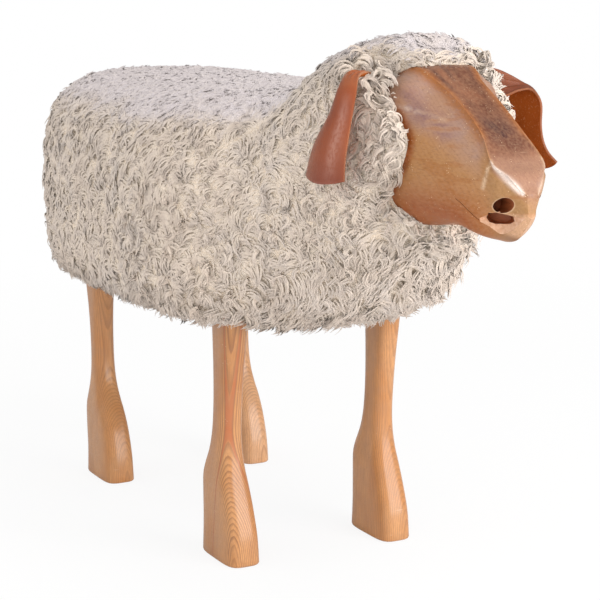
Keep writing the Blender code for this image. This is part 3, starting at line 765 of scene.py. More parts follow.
@dataclass(frozen=True)
class UnderwoolFinish(SheepsWool):
    """The felted wool close to the skin, seen only between the locks, kept pale: partly clean inner wool and
    partly painted light that lifts the shade there.
    """

    name: str = "underwool"
    # Pale felt colours: partly clean inner wool, partly painted light in the shade between the locks.
    deep: Colour = (0.89, 0.745, 0.60)
    raised: Colour = (0.86, 0.75, 0.645)
    matted: Colour = (0.79, 0.715, 0.72)
    # The painted glow's colour where the felt is matted.
    matted_glow: Colour = (0.75, 0.66, 0.62)
    curl: float = 0.011
    rings: float = 4.0
    relief: float = 0.0016

    def material(self) -> Material:
        """Build the finish from small curls and fine crossed fibres.

        Returns:
            The material.
        """
        made, w, shader = open_material(self.name)
        at = w.here()
        matting = w.channels(w.held("wool")["Color"])["Blue"]
        curls = w.use(Effect.CURLS, at, Size=self.curl, Rings=self.rings)
        hair = w.noise(w.place(at, scale=(700.0, 260.0, 700.0)), 1.0, 3.0, 0.6, 1.5)
        height = w.plus(w.times(curls["Height"], 0.8), w.times(hair, 0.3))
        felt = w.mix(w.span(height, 0.2, 0.8), w.mix(matting, self.deep, self.matted),
                     w.mix(matting, self.raised, self.matted))
        # The felt on the crown is darker too, partly dusty wool and partly painted shade.
        w.fill(shader, {
            "Base Color": w.shaded(felt, self.dust(w, at)), "Normal": w.bump(height, self.relief, 1.0),
            # Painted glow from the felt, standing in for light scattered inside the fleece.
            "Emission Color": w.mix(matting, self.glow, self.matted_glow),
            "Emission Strength": self.glow_strength, "Roughness": 0.95, "Specular IOR Level": 0.2})
        return made


@dataclass(frozen=True)
class PineFinish:
    """Lacquered pine cut across its growth rings, so that sloping faces show nested arches."""

    name: str
    pith: Point
    lean: Point = ORIGIN
    ring: float = 0.0021
    wobble: float = 1.6
    seed: float = 0.0
    heart: tuple[float, float] = (0.0, 0.0)
    heart_fade: float = 0.0007
    contrast: float = 0.42
    early: Colour = (0.57, 0.245, 0.080)
    pale: Colour = (0.66, 0.325, 0.130)
    late: Colour = (0.22, 0.082, 0.038)
    red: Colour = (0.48, 0.135, 0.045)
    scratch: Colour = (0.84, 0.62, 0.42)
    speck: Colour = (0.27, 0.13, 0.075)
    aged: Colour = (0.40, 0.21, 0.11)
    roughness: float = 0.34

    def material(self) -> Material:
        """Build the finish round this leg's own pith.

        Returns:
            The material.
        """
        made, w, shader = open_material(self.name)
        at = w.here()
        grain = w.use(Effect.GRAIN, w.place(w.vector("SUBTRACT", at, self.pith), turn=self.lean),
                      Ring=self.ring, Wobble=self.ring * self.wobble, Seed=self.seed)
        clouds = w.use(Effect.CLOUDS, at, Scale=1.6)
        scratches = w.use(Effect.SCRATCHES, at)
        inner, outer = self.heart
        inside = 0.0
        if outer > inner:
            inside = w.times(w.times(w.span(grain["Radius"], inner, inner + self.heart_fade),
                                     w.span(grain["Radius"], outer, outer + self.heart_fade, 1.0, 0.0)), 0.85)
        colour = w.layers(
            self.early, (w.span(grain["Tone"], 0.35, 0.65), self.pale),
            (w.times(w.span(grain["Fibre"], 0.42, 0.62), 0.22), self.late), (inside, self.red),
            (w.times(grain["Late"], self.contrast), self.late),
            (w.times(scratches["Lines"], 0.35), self.scratch),
            (w.times(scratches["Specks"], 0.45), self.speck), (w.times(clouds["Middle"], 0.26), self.aged))
        relief = w.minus(w.times(grain["Late"], 0.5), w.times(scratches["Specks"], 0.8))
        w.fill(shader, {
            "Base Color": colour, "Normal": w.bump(relief, 0.00012, 0.7),
            "Roughness": w.span(clouds["Small"], 0.0, 1.0, self.roughness, self.roughness + 0.16),
            "Coat Weight": 0.5, "Coat Roughness": 0.20, "Specular IOR Level": 0.35})
        return made


@dataclass(frozen=True)
class HeadFinish:
    """Carved hardwood, olive-tan on the cheeks, plum-grey on the brow, orange where rubbing wore it, with painted
    shade low on the face and painted highlights along the nose and the temple crease.
    """

    name: str = "head_wood"
    cheek: Colour = (0.445, 0.212, 0.078)
    cheek_light: Colour = (0.54, 0.29, 0.135)
    brow: Colour = (0.42, 0.255, 0.200)
    bridge: Colour = (0.135, 0.045, 0.027)
    plum: Colour = (0.058, 0.023, 0.026)
    rubbed: Colour = (0.35, 0.105, 0.016)
    # Painted shade: the darker colour low on the face and next to the wool's edge.
    throat: Colour = (0.30, 0.064, 0.005)
    muzzle: Colour = (0.385, 0.200, 0.078)
    nose: Colour = (0.37, 0.195, 0.130)
    russet: Colour = (0.27, 0.105, 0.055)
    # Pale colour of the edge lines, partly wear and partly painted highlight, and of the nostrils' rims.
    worn: Colour = (0.78, 0.56, 0.38)
    # The near-white colour of the painted highlight beside the nose's edge and on the temple crease.
    polished: Colour = (0.96, 0.86, 0.80)
    lip: Colour = (0.60, 0.35, 0.21)
    lilac: Colour = (0.26, 0.135, 0.135)
    shaded: Colour = (0.21, 0.085, 0.035)
    pore: Colour = (0.16, 0.075, 0.040)
    late: Colour = (0.20, 0.09, 0.045)
    dust: Colour = (0.58, 0.33, 0.185)
    scratch: Colour = (0.80, 0.58, 0.38)
    speck: Colour = (0.86, 0.64, 0.42)
    pith: Point = (0.10, 0.0, 0.56)
    pith_turn: Point = (1.35, 0.0, 0.1)

    def material(self) -> Material:
        """Build the finish from the regions painted on the head's own mesh.

        Returns:
            The material.
        """
        made, w, shader = open_material(self.name)
        at = w.here()
        clouds = w.use(Effect.CLOUDS, w.place(at, scale=(1.0, 0.45, 1.0)), Scale=1.7)
        large, middle, small = clouds["Large"], clouds["Middle"], clouds["Small"]
        grain = w.use(Effect.GRAIN, w.place(w.vector("SUBTRACT", at, self.pith), turn=self.pith_turn),
                      Ring=0.0024, Wobble=0.012, Seed=3.0)
        scratches = w.use(Effect.SCRATCHES, at, Scale=1.15)
        streaks = w.noise(w.place(at, scale=(60.0, 22.0, 150.0), turn=(0.35, 0.0, 0.0)), 1.0)
        pores = w.noise(w.place(at, scale=(900.0, 70.0, 900.0), turn=(0.5, 0.0, 0.0)), 1.0, 2.0, 0.6)
        region = {name: w.held(name)["Fac"] for name in Head.regions}

        def where(name: str, broken: Socket, *limits: float) -> Socket:
            """Return a region, broken up by a pattern."""
            return w.times(region[name], w.span(broken, *limits))

        colour = w.layers(
            self.cheek,
            (w.times(large, 0.35), self.cheek_light),
            # Painted shade low on the face and along the wool's edge.
            (region["throat"], self.throat),
            (region["muzzle"], self.muzzle),
            (where("brow", middle, 0.0, 1.0, 0.55, 1.0), self.brow),
            (where("violet", streaks, 0.40, 0.56, 0.15, 0.90), self.lilac),
            (w.times(w.span(streaks, 0.44, 0.34, 0.0, 0.35), w.minus(1.0, region["bridge"])), self.rubbed),
            (region["bridge"], w.mix(middle, self.bridge, self.russet)),
            (w.times(region["nose"], 0.9), self.nose),
            (where("plum", middle, 0.1, 0.8, 0.35, 1.0), self.plum),
            (where("rubbed", small, 0.0, 0.7, 0.55, 1.0), self.rubbed),
            # Pale lines along the nose's edges and the temple crease, partly wear and partly painted highlight.
            (where("worn", small, 0.0, 0.6, 0.4, 0.9), self.worn),
            (w.times(region["under"], 0.85), self.shaded),
            (where("chin", small, 0.0, 1.0, 0.70, 1.0), self.lip),
            # Painted highlight beside the nose's edge and on the temple crease.
            (w.times(region["shine"], 0.92), self.polished),
            (self.rim_mask(w, at), self.worn),
            (w.times(w.span(pores, 0.52, 0.70), 0.30), self.pore),
            (w.times(grain["Late"], 0.14), self.late),
            (w.times(small, 0.22), self.dust),
            (w.times(scratches["Lines"], 0.24), self.scratch),
            (w.times(scratches["Specks"], 0.70), self.speck))
        dents = w.plus(w.noise(at, 46.0, 3.0), w.times(scratches["Lines"], -0.04))
        glazed = w.math("MAXIMUM", region["shine"], w.times(region["brow"], 0.30))
        w.fill(shader, {
            "Base Color": colour, "Roughness": w.span(small, 0.0, 1.0, 0.30, 0.48),
            "Normal": w.bump(dents, 0.0016, 0.35), "Coat Weight": w.span(glazed, 0.0, 1.0, 0.06, 1.0),
            "Coat Roughness": 0.20, "Specular IOR Level": 0.22})
        return made

    def rim_mask(self, w: Wiring, at: Socket) -> Socket:
        """Return a mask of the pale rim that wear leaves round both nostrils.

        Args:
            w: The material's wiring.
            at: The place on the head.

        Returns:
            How far wear has paled the rim there.
        """
        head = Head()
        offset = w.axes(w.vector("SUBTRACT", w.vector("ABSOLUTE", at), tuple(map(abs, head.nostril))))
        across = w.plus(w.times(offset["X"], math.cos(head.nostril_yaw)),
                        w.times(offset["Y"], -math.sin(head.nostril_yaw)))
        reach = w.math("SQRT", w.plus(w.times(across, across), w.times(offset["Z"], offset["Z"])))
        ring = w.span(reach, head.nostril_radius + 0.0003, head.nostril_radius + 0.0012, 0.45, 0.0)
        return w.times(ring, w.span(w.math("ABSOLUTE", offset["Y"]), 0.012, 0.016, 1.0, 0.0))


@dataclass(frozen=True)
class PlainWoodFinish:
    """Bare wood: the cut floor of the mouth, the drilled nostrils and the hidden frame."""

    name: str
    pale: Colour
    dark: Colour
    along: Point = (420.0, 22.0, 420.0)
    roughness: float = 0.62
    plies: float = 0.0

    def material(self) -> Material:
        """Build the finish from long fibres, and from plies where it has them.

        Returns:
            The material.
        """
        made, w, shader = open_material(self.name)
        at = w.here()
        fibre = w.noise(w.place(at, scale=self.along), 1.0, 3.0, 0.6)
        clouds = w.use(Effect.CLOUDS, at, Scale=2.0)
        colour = w.layers(self.pale, (w.span(fibre, 0.36, 0.66), self.dark),
                          (w.times(clouds["Middle"], 0.3), self.dark))
        if self.plies:
            layer = w.math("PINGPONG", w.axes(at)["Z"], self.plies)
            edge = w.span(layer, self.plies * 0.45, self.plies * 0.55)
            level = w.axes(w.node("ShaderNodeNewGeometry").outputs["Normal"])["Z"]
            upright = w.span(w.math("ABSOLUTE", level), 0.4, 0.6, 1.0, 0.0)
            colour = w.mix(w.times(w.times(edge, upright), 0.6), colour, self.dark)
        w.fill(shader, {"Base Color": colour, "Normal": w.bump(fibre, 0.0004, 0.6),
                        "Roughness": self.roughness})
        return made


@dataclass(frozen=True)
class LeatherFinish:
    """Red-brown leather: glossy grain, napped flesh side or raw cut edge."""

    name: str
    base: Colour
    worn: Colour
    dark: Colour
    roughness: float
    grain: float
    gloss: float = 0.0
    nap: float = 0.0
    # The pink of the painted sheen band on the ear, which also stands for leather paled by rubbing.
    rubbed: Colour = (0.66, 0.36, 0.28)
    fleck: Colour = (0.52, 0.22, 0.10)
    tip_level: tuple[float, float] = (0.425, 0.455)
    root_level: tuple[float, float] = (0.495, 0.512)

    def material(self) -> Material:
        """Build the finish from creased cells and soft clouds.

        Returns:
            The material.
        """
        made, w, shader = open_material(self.name)
        at = w.here()
        clouds = w.use(Effect.CLOUDS, w.place(at, scale=(1.0, 1.0, 0.6)), Scale=1.5)
        scratches = w.use(Effect.SCRATCHES, at, Scale=1.3)
        hair = w.noise(at, 1500.0, 2.0, 0.7)
        flecks = w.span(w.noise(at, 480.0, 2.0, 0.6), 0.58, 0.68)
        # Painted sheen band on the ear, which also stands for leather paled by rubbing.
        rubbed = w.times(w.held("rubbed")["Fac"], w.span(clouds["Small"], 0.1, 0.7, 0.45, 1.0))
        height = w.plus(w.axes(at)["Z"], w.times(clouds["Middle"], 0.012))
        colour = w.layers(
            self.base,
            (w.times(clouds["Large"], 0.5), self.worn),
            (w.times(clouds["Middle"], 0.35), self.dark),
            (w.times(w.span(hair, 0.5, 0.7), 0.15 + 0.5 * self.nap), self.worn),
            (w.times(scratches["Lines"], 0.12), self.worn),
            (w.times(flecks, 0.55 * self.nap), self.fleck),
            (w.times(rubbed, self.gloss), self.rubbed),
            # Darker towards the tip and paler near the root.
            (w.span(height, *self.tip_level, 0.55, 0.0), self.dark),
            (w.span(height, *self.root_level, 0.0, 0.7), self.worn))
        crease = w.times(w.span(w.cells(at, 620.0, "DISTANCE_TO_EDGE"), 0.0, 0.12), self.grain)
        relief = w.plus(crease, w.times(hair, 0.3 + self.nap))
        w.fill(shader, {
            "Base Color": colour, "Normal": w.bump(relief, 0.00025 + 0.0006 * self.nap, 0.5),
            "Roughness": w.span(clouds["Small"], 0.0, 1.0, self.roughness, self.roughness + 0.14),
            "Coat Weight": self.gloss, "Coat Roughness": 0.33, "Specular IOR Level": 0.5 - 0.45 * self.nap})
        return made


@dataclass(frozen=True)
class FoamFinish:
    """Upholstery foam with open pores."""

    name: str = "foam"
    fresh: Colour = (0.78, 0.70, 0.50)
    aged: Colour = (0.60, 0.47, 0.26)

    def material(self) -> Material:
        """Build the finish from small round pores.

        Returns:
            The material.
        """
        made, w, shader = open_material(self.name)
        at = w.here()
        walls = w.span(w.cells(at, 700.0), 0.15, 0.45)
        colour = w.mix(w.use(Effect.CLOUDS, at, Scale=1.2)["Middle"], self.fresh, self.aged)
        w.fill(shader, {"Base Color": w.mix(walls, self.aged, colour),
                        "Normal": w.bump(walls, 0.0006, 0.8), "Roughness": 0.95})
        return made


@dataclass(frozen=True)
class LiningFinish:
    """Black woven lining cloth."""

    name: str = "lining_cloth"
    thread: Colour = (0.050, 0.045, 0.042)
    between: Colour = (0.012, 0.011, 0.010)
    pitch: float = 0.0011

    def material(self) -> Material:
        """Build the finish from threads that cross over and under.

        Returns:
            The material.
        """
        made, w, shader = open_material(self.name)
        threads = w.axes(w.vector("MULTIPLY", w.here(), (math.pi / self.pitch,) * 3))
        weave = w.span(w.times(w.math("SINE", threads["X"]), w.math("SINE", threads["Y"])), -0.6, 0.6)
        w.fill(shader, {"Base Color": w.mix(weave, self.between, self.thread),
                        "Normal": w.bump(weave, 0.0003, 0.7), "Roughness": 0.9})
        return made


@dataclass(frozen=True)
class SteelFinish:
    """Zinc-plated steel with fine turning marks."""

    name: str = "steel"
    bright: Colour = (0.62, 0.62, 0.60)
    dull: Colour = (0.42, 0.42, 0.41)

    def material(self) -> Material:
        """Build the finish from clouding and scratches.

        Returns:
            The material.
        """
        made, w, shader = open_material(self.name)
        at = w.here()
        clouds = w.use(Effect.CLOUDS, at, Scale=6.0)
        scratches = w.use(Effect.SCRATCHES, at, Scale=3.0)
        w.fill(shader, {
            "Base Color": w.mix(clouds["Middle"], self.bright, self.dull),
            "Roughness": w.span(clouds["Small"], 0.0, 1.0, 0.28, 0.46),
            "Normal": w.bump(scratches["Lines"], 0.0001, 0.4), "Metallic": 1.0})
        return made


# The fleece


class Wool(Worded):
    """The areas of the fleece that are locked with wool one after another."""

    REAR_SEAT = auto()
    FRONT_SEAT = auto()
    RUMP = auto()
    RIGHT_REAR_FLANK = auto()
    RIGHT_FRONT_FLANK = auto()
    LEFT_REAR_FLANK = auto()
    LEFT_FRONT_FLANK = auto()
    CHEST = auto()
    RIGHT_NECK = auto()
    LEFT_NECK = auto()
    CAP = auto()


@dataclass
class FleeceForm:
    """The outer form that the wool fills, from the rump to its edge on the face.

    Each row is a section's y, half width, top, bottom, and its squareness above and below.
    """

    rows: Rows = (
        (0.4175, 0.044, 0.452, 0.286, 2.8, 2.8),
        (0.4120, 0.075, 0.468, 0.270, 3.0, 3.2),
        (0.3990, 0.107, 0.479, 0.261, 3.3, 4.2),
        (0.3740, 0.135, 0.485, 0.255, 3.4, 5.0),
        (0.3350, 0.155, 0.487, 0.251, 3.4, 5.0),
        (0.2750, 0.170, 0.487, 0.249, 3.2, 5.0),
        (0.1800, 0.176, 0.487, 0.249, 3.0, 4.8),
        (0.0500, 0.176, 0.487, 0.249, 3.0, 4.6),
        (-0.0300, 0.170, 0.487, 0.249, 2.8, 4.2),
        (-0.0710, 0.155, 0.4890, 0.250, 2.6, 3.4),
        (-0.1000, 0.139, 0.4930, 0.254, 2.4, 2.9),
        (-0.1300, 0.123, 0.5040, 0.265, 2.3, 2.7),
        (-0.1550, 0.112, 0.5200, 0.276, 2.4, 2.8),
        (-0.1800, 0.102, 0.5330, 0.294, 2.8, 2.7),
        (-0.2150, 0.092, 0.5410, 0.320, 3.2, 2.6),
        (-0.2400, 0.085, 0.5450, 0.340, 2.8, 2.6),
    )
    widest_level: float = 0.46
    edge: tuple[Point, ...] = (
        (0.0000, -0.2740, 0.5185), (0.0174, -0.2770, 0.5177), (0.0300, -0.2745, 0.5170),
        (0.0423, -0.2536, 0.5057), (0.0494, -0.2589, 0.4939), (0.0525, -0.2817, 0.4806),
        (0.0519, -0.2944, 0.4720), (0.0513, -0.3054, 0.4590), (0.0521, -0.3053, 0.4460),
        (0.0517, -0.2949, 0.4276), (0.0446, -0.2698, 0.4014), (0.0324, -0.2844, 0.3854),
        (0.0180, -0.2930, 0.3800), (0.0000, -0.2960, 0.3790),
    )
    lips: Rows = ((0.017, 0.014), (0.009, 0.001), (0.0008, 0.0))
    half: int = 64
    steps: int = 6
    rump_shares: tuple[float, ...] = (0.0, 0.12, 0.3, 0.5, 0.7, 0.86)
    rump_bulge: float = 0.0030

    def half_outline(self, row: Array) -> Array:
        """Return one cross-section's outline from its top to its bottom.

        Args:
            row: One row of the form's table.

        Returns:
            Evenly spaced points on the side of +X.
        """
        y, half_width, top, bottom, above, below = row
        widest = bottom + (top - bottom) * self.widest_level
        s = np.linspace(0.0, 1.0, 400)
        quarter = math.pi / 2 * s**3 / (s**3 + (1 - s)**3)
        x = half_width * np.r_[np.sin(quarter)**(2 / above), np.cos(quarter[1:])**(2 / below)]
        z = np.r_[widest + (top - widest) * np.cos(quarter)**(2 / above),
                  widest - (widest - bottom) * np.sin(quarter[1:])**(2 / below)]
        return respaced(np.stack([x, np.full(len(x), y), z], axis=1), self.half + 1)

    def rings(self) -> Array:
        """Return the whole form as rings of points, the rump's pole first.

        Returns:
            An array of rings by points round by three.
        """
        halves = np.array([self.half_outline(row) for row in spline(self.rows, self.steps)])
        centre = halves[0].mean(axis=0) * (0, 1, 1)
        caps = []
        for share in self.rump_shares:
            cap = centre + (halves[0] - centre) * share
            cap[:, 1] += self.rump_bulge * (1 - share**2)
            caps.append(cap)
        edge = self.edge_half()
        outward = unit((halves[-1] - edge) * (1, 0, 1))
        blend = 2 * self.steps + 1
        keys = [halves[-blend], halves[-self.steps - 1], halves[-1]]
        for spread, back in self.lips:
            keys.append(edge + outward * spread + np.array([0.0, back, 0.0]))
        front = np.stack([spline([key[index] for key in keys], 4) for index in range(self.half + 1)], axis=1)
        half = np.concatenate([np.array(caps), halves[:-blend], front])
        return np.concatenate([half, half[:, -2:0:-1] * (-1, 1, 1)], axis=1)

    def edge_half(self) -> Array:
        """Return the wool's edge on the face, from the forehead to the throat."""
        return smooth_line(self.edge, self.half + 1)


@dataclass
class Strand:
    """One tapering strand of wool, modelled straight and then copied along many paths."""

    segments: int
    corners: int = 3
    flatness: float = 0.65
    softness: float = 0.84
    points: Array = field(init=False)
    faces: Array = field(init=False)

    def __post_init__(self) -> None:
        """Model the straight strand from a cylinder cut into segments."""
        deselect()
        bpy.ops.mesh.primitive_cylinder_add(
            vertices=self.corners, radius=1.0, depth=1.0, location=(0.0, 0.0, 0.5))
        piece = settle(named("strand"))
        with edited(piece):
            for number in range(1, self.segments):
                bpy.ops.mesh.select_all(action="SELECT")
                bpy.ops.mesh.bisect(plane_co=(0.0, 0.0, number / self.segments), plane_no=(0.0, 0.0, 1.0))
            bpy.ops.mesh.select_all(action="SELECT")
            bpy.ops.mesh.quads_convert_to_tris()
            bpy.ops.mesh.normals_make_consistent(inside=False)
        self.points = np.array([vertex.co[:] for vertex in piece.data.vertices])
        self.faces = np.array([face.vertices[:] for face in piece.data.polygons])
        bpy.data.objects.remove(piece, do_unlink=True)

    def weave(self, name: str, paths: Array, outwards: Array, widths: Array, traits: Array) -> Piece:
        """Copy the strand along paths into one piece.

        Args:
            name: The piece's name.
            paths: Each copy's centre line, copies by segments + 1 by three.
            outwards: Each copy's direction away from the skin.
            widths: Each copy's full width.
            traits: Each copy's tint and matting, for the finish.

        Returns:
            The piece, with its "wool" attribute and "Strand" UV map.
        """
        ring = np.rint(self.points[:, 2] * self.segments).astype(int)
        angle = np.arctan2(self.points[:, 1], self.points[:, 0])
        along = unit(np.gradient(paths, axis=1))
        across = unit(np.cross(outwards[:, None, :], along))
        up = np.cross(along, across)
        t = np.linspace(0.0, 1.0, self.segments + 1)
        taper = (0.70 + 0.30 * np.sin(math.pi * np.minimum(t * 1.25, 1.0))) * (1 - 0.80 * t**5)
        reach = widths[:, None] / 2 * taper[ring][None, :]
        co = (paths[:, ring] + across[:, ring] * (reach * np.cos(angle))[..., None]
              + up[:, ring] * (reach * np.sin(angle) * self.flatness)[..., None])
        count, size = len(paths), len(self.points)
        faces = (self.faces[None] + (np.arange(count) * size)[:, None, None]).reshape(-1, 3)
        mesh = bpy.data.meshes.new(name)
        mesh.vertices.add(count * size)
        mesh.vertices.foreach_set("co", co.ravel())
        mesh.loops.add(faces.size)
        mesh.loops.foreach_set("vertex_index", faces.ravel())
        mesh.polygons.add(len(faces))
        mesh.polygons.foreach_set("loop_start", np.arange(0, faces.size, 3))
        mesh.update(calc_edges=True)
        colour = np.ones((count, size, 4))
        colour[..., 0] = t[ring][None]
        colour[..., 1:3] = traits[:, None, :2]
        store(mesh, "wool", colour)
        turn = np.mod(angle / (2 * math.pi), 1.0)[self.faces]
        turn = np.where(turn.max(axis=1, keepdims=True) - turn > 0.5, turn + 1.0, turn)
        uv = np.empty((count, *self.faces.shape, 2))
        uv[..., 0] = turn[None] + (np.arange(count) % 61)[:, None, None] * 1.37
        uv[..., 1] = t[ring][self.faces][None] + (np.arange(count) % 47)[:, None, None] * 1.19
        mesh.uv_layers.new(name="Strand").data.foreach_set("uv", uv.ravel())
        mesh.shade_smooth()
        tube = across[:, ring] * np.cos(angle)[:, None] * self.flatness + up[:, ring] * np.sin(angle)[:, None]
        facing = unit(unit(tube) * (1 - self.softness) + outwards[:, None] * self.softness)
        mesh.normals_split_custom_set_from_vertices(facing.reshape(-1, 3))
        piece = bpy.data.objects.new(name, mesh)
        bpy.context.collection.objects.link(piece)
        return piece


@dataclass(frozen=True)
class RingletPatch:
    """A patch of the fleece that carries ringlets, between two corners at +X."""

    name: str
    spacing: float
    low: Point
    high: Point
    size: float
    strands: int


@dataclass(frozen=True)
class LockHabit:
    """How the strands of a lock stand, curl and gather, in metres and radians."""

    length: float = 0.0172
    matted_loss: float = 0.0080
    width: float = 0.0023
    root_lean: float = 1.08
    tip_lean: float = 1.95
    turn: float = 0.8
    curl: tuple[float, float] = (1.5, 3.3)
    lengths: tuple[float, float] = (0.80, 1.22)
    rises: tuple[float, float] = (-0.30, 0.12)
    loose_share: float = 0.34
    loose_pull: float = 0.15
    tight_pull: float = 0.72
    root_sink: float = 0.0006


@dataclass
class Fleece:
    """The sheepskin: two sewn skins and the locks of wool that grow from them."""

    form: FleeceForm = field(default_factory=FleeceForm)
    habit: LockHabit = field(default_factory=LockHabit)
    seam_y: float = -0.046
    seam_strands: int = 1500
    flank_split: float = 0.16
    skin_thickness: float = 0.003
    deep_pile: float = 0.0027
    short_pile: float = 0.0012
    under_pile: float = 0.0050
    edge_pile: float = 0.0030
    edge_reach: float = 0.028
    matted_ys: tuple[float, ...] = (-0.30, -0.18, -0.10, 0.40)
    matted_levels: tuple[float, ...] = (0.503, 0.497, 0.444, 0.432)
    opening: tuple[Point, Point] = ((-0.110, -0.058, 0.20), (0.110, 0.374, 0.2735))
    opening_margin: float = 0.004
    sweep_low: Point = (0.0525, -0.262, 0.503)
    sweep_high: Point = (0.0825, -0.240, 0.511)
    spacing: float = 0.00375
    seat_spacing: float = 0.0034
    lock_spacing: float = 0.0108
    seat_lock_spacing: float = 0.0075
    forelocks: Rows = (
        (0.060, -0.250, 0.511, 12), (0.052, -0.258, 0.508, 12), (0.046, -0.258, 0.497, 12),
        (0.060, -0.250, 0.492, 10), (0.0545, -0.2690, 0.4860, 8))
    fringe_locks: int = 44
    patches: tuple[RingletPatch, ...] = (
        RingletPatch("cheek", 0.0085, (0.045, -0.299, 0.422), (0.085, -0.255, 0.482), 0.85, 11),
        RingletPatch("chest", 0.0170, (0.0, -0.270, 0.235), (0.200, 0.050, 0.400), 0.90, 7))
    patch_depth: float = 0.0055
    wisp_centres: tuple[Point, ...] = ((0.050, -0.270, 0.492), (0.064, -0.248, 0.520))
    wisp_reach: float = 0.017
    wisp_gain: float = 0.85
    seed: int = 11

    def build(self, wool: Material, underwool: Material) -> None:
        """Lay the skins and grow the wool on them.

        Args:
            wool: The finish of the locks.
            underwool: The finish of the felted wool on the skins.
        """
        self.shape()
        self.split = int(np.argmin(np.abs(self.outer[:, :, 1].mean(axis=1) - self.seam_y)))
        self.lay_skin("fleece_skin_body", slice(0, self.split + 1), underwool, "fleece_body")
        self.lay_skin("fleece_skin_hood", slice(self.split, None), underwool, "fleece_hood")
        self.grow(wool)
        self.hang_ringlets(wool)

    def shape(self) -> None:
        """Work out the outer form, its normals, how matted it is and the skin below."""
        self.outer = self.form.rings()
        wrapped = np.concatenate([self.outer[:, -1:], self.outer, self.outer[:, :1]], axis=1)
        normal = np.cross(np.gradient(self.outer, axis=0), np.gradient(wrapped, axis=1)[:, 1:-1])
        normal[0] = (0.0, 1.0, 0.0)
        normal = unit(normal)
        middle = self.outer.mean(axis=1, keepdims=True)
        if np.sum(normal[20:60] * (self.outer - middle)[20:60]) < 0:
            normal[1:] = -normal[1:]
        self.normal = normal
        flat = self.outer.reshape(-1, 3)
        waver = (0.10 * lumps(flat, 0.035, 5) + 0.07 * lumps(flat, 0.014, 6)).reshape(self.outer.shape[:2])
        level = np.interp(self.outer[..., 1], self.matted_ys, self.matted_levels)
        self.matting = (smoothstep(normal[..., 2] + waver, 0.46, 0.92)
                        * smoothstep(self.outer[..., 2] - level + 0.03 * waver, 0.0, 0.022))
        under = smoothstep(-normal[..., 2], 0.55, 0.9)
        lip = smoothstep(np.linalg.norm(self.outer - self.outer[-1:], axis=2), 0.0, self.edge_reach)
        pile = self.deep_pile + (self.short_pile - self.deep_pile) * self.matting
        pile = pile + (self.under_pile - pile) * under
        pile = self.edge_pile + (pile - self.edge_pile) * lip
        pile[-1] = 0.0
        rough = 0.0019 * lumps(flat, 0.015, 2) + 0.0010 * lumps(flat, 0.006, 3)
        pile = pile - rough.reshape(pile.shape) * np.minimum(lip, 1 - 0.45 * self.matting)
        self.skin = self.outer - normal * pile[..., None]
        self.skin[0] = self.skin[0].mean(axis=0)

    def lay_skin(self, name: str, rows: slice, finish: Material, node: str) -> None:
        """Lay one sewn part of the skin.

        Args:
            name: The piece's name.
            rows: The rings of the form that it spans.
            finish: The felted finish.
            node: The CAD node that it stands for.
        """
        piece = wrap_grid(name, self.skin[rows], capped=False)
        numbers, _ = nearest(self.skin[rows].reshape(-1, 3), (vertex.co for vertex in piece.data.vertices))
        colour = np.zeros((len(numbers), 4))
        colour[:, 2] = self.matting[rows].ravel()[numbers]
        store(piece.data, "wool", colour)
        add_wall(piece, self.skin_thickness, -1.0)
        finish_modifiers(piece)
        low, high = np.array(self.opening)
        cut(piece, add_box("belly_opening", (low + high) / 2, high - low))
        smooth(dress(piece, finish))
        hand_over(piece, "wool", node)

    def scatter(self, spacing: float, seed: int) -> tuple[Array, Array]:
        """Strew places evenly over the form.

        Args:
            spacing: The distance between neighbours, in metres.
            seed: Which strewing is meant.

        Returns:
            Each place's ring and its position round the ring, as fractions of grid steps.
        """
        random = np.random.default_rng(seed)
        grid = np.concatenate([self.outer, self.outer[:, :1]], axis=1)
        area = np.linalg.norm(np.cross(grid[1:, 1:] - grid[:-1, :-1], grid[1:, :-1] - grid[:-1, 1:]), axis=2) / 2
        count = np.floor(area / spacing**2 + random.random(area.shape)).astype(int).ravel()
        row, turn = (np.repeat(index.ravel(), count) for index in np.indices(area.shape))
        shift = random.random(2)
        along, round_it = (np.mod(np.arange(len(row)) * EVEN_STEPS[axis] + shift[axis], 1.0) for axis in (0, 1))
        return row + along, np.mod(turn + round_it, self.outer.shape[1])

    def read(self, grid: Array, rows: Array, turns: Array) -> Array:
        """Read a grid of the form between its points.

        Args:
            grid: Values by ring and position round it.
            rows: The rings, with fractions.
            turns: The positions round, with fractions.

        Returns:
            One value or vector for each place.
        """
        row, turn = rows.astype(int), turns.astype(int)
        u, v = rows - row, turns - turn
        after = (turn + 1) % grid.shape[1]
        if grid.ndim == 3:
            u, v = u[:, None], v[:, None]
        return ((grid[row, turn] * (1 - v) + grid[row, after] * v) * (1 - u)
                + (grid[row + 1, turn] * (1 - v) + grid[row + 1, after] * v) * u)

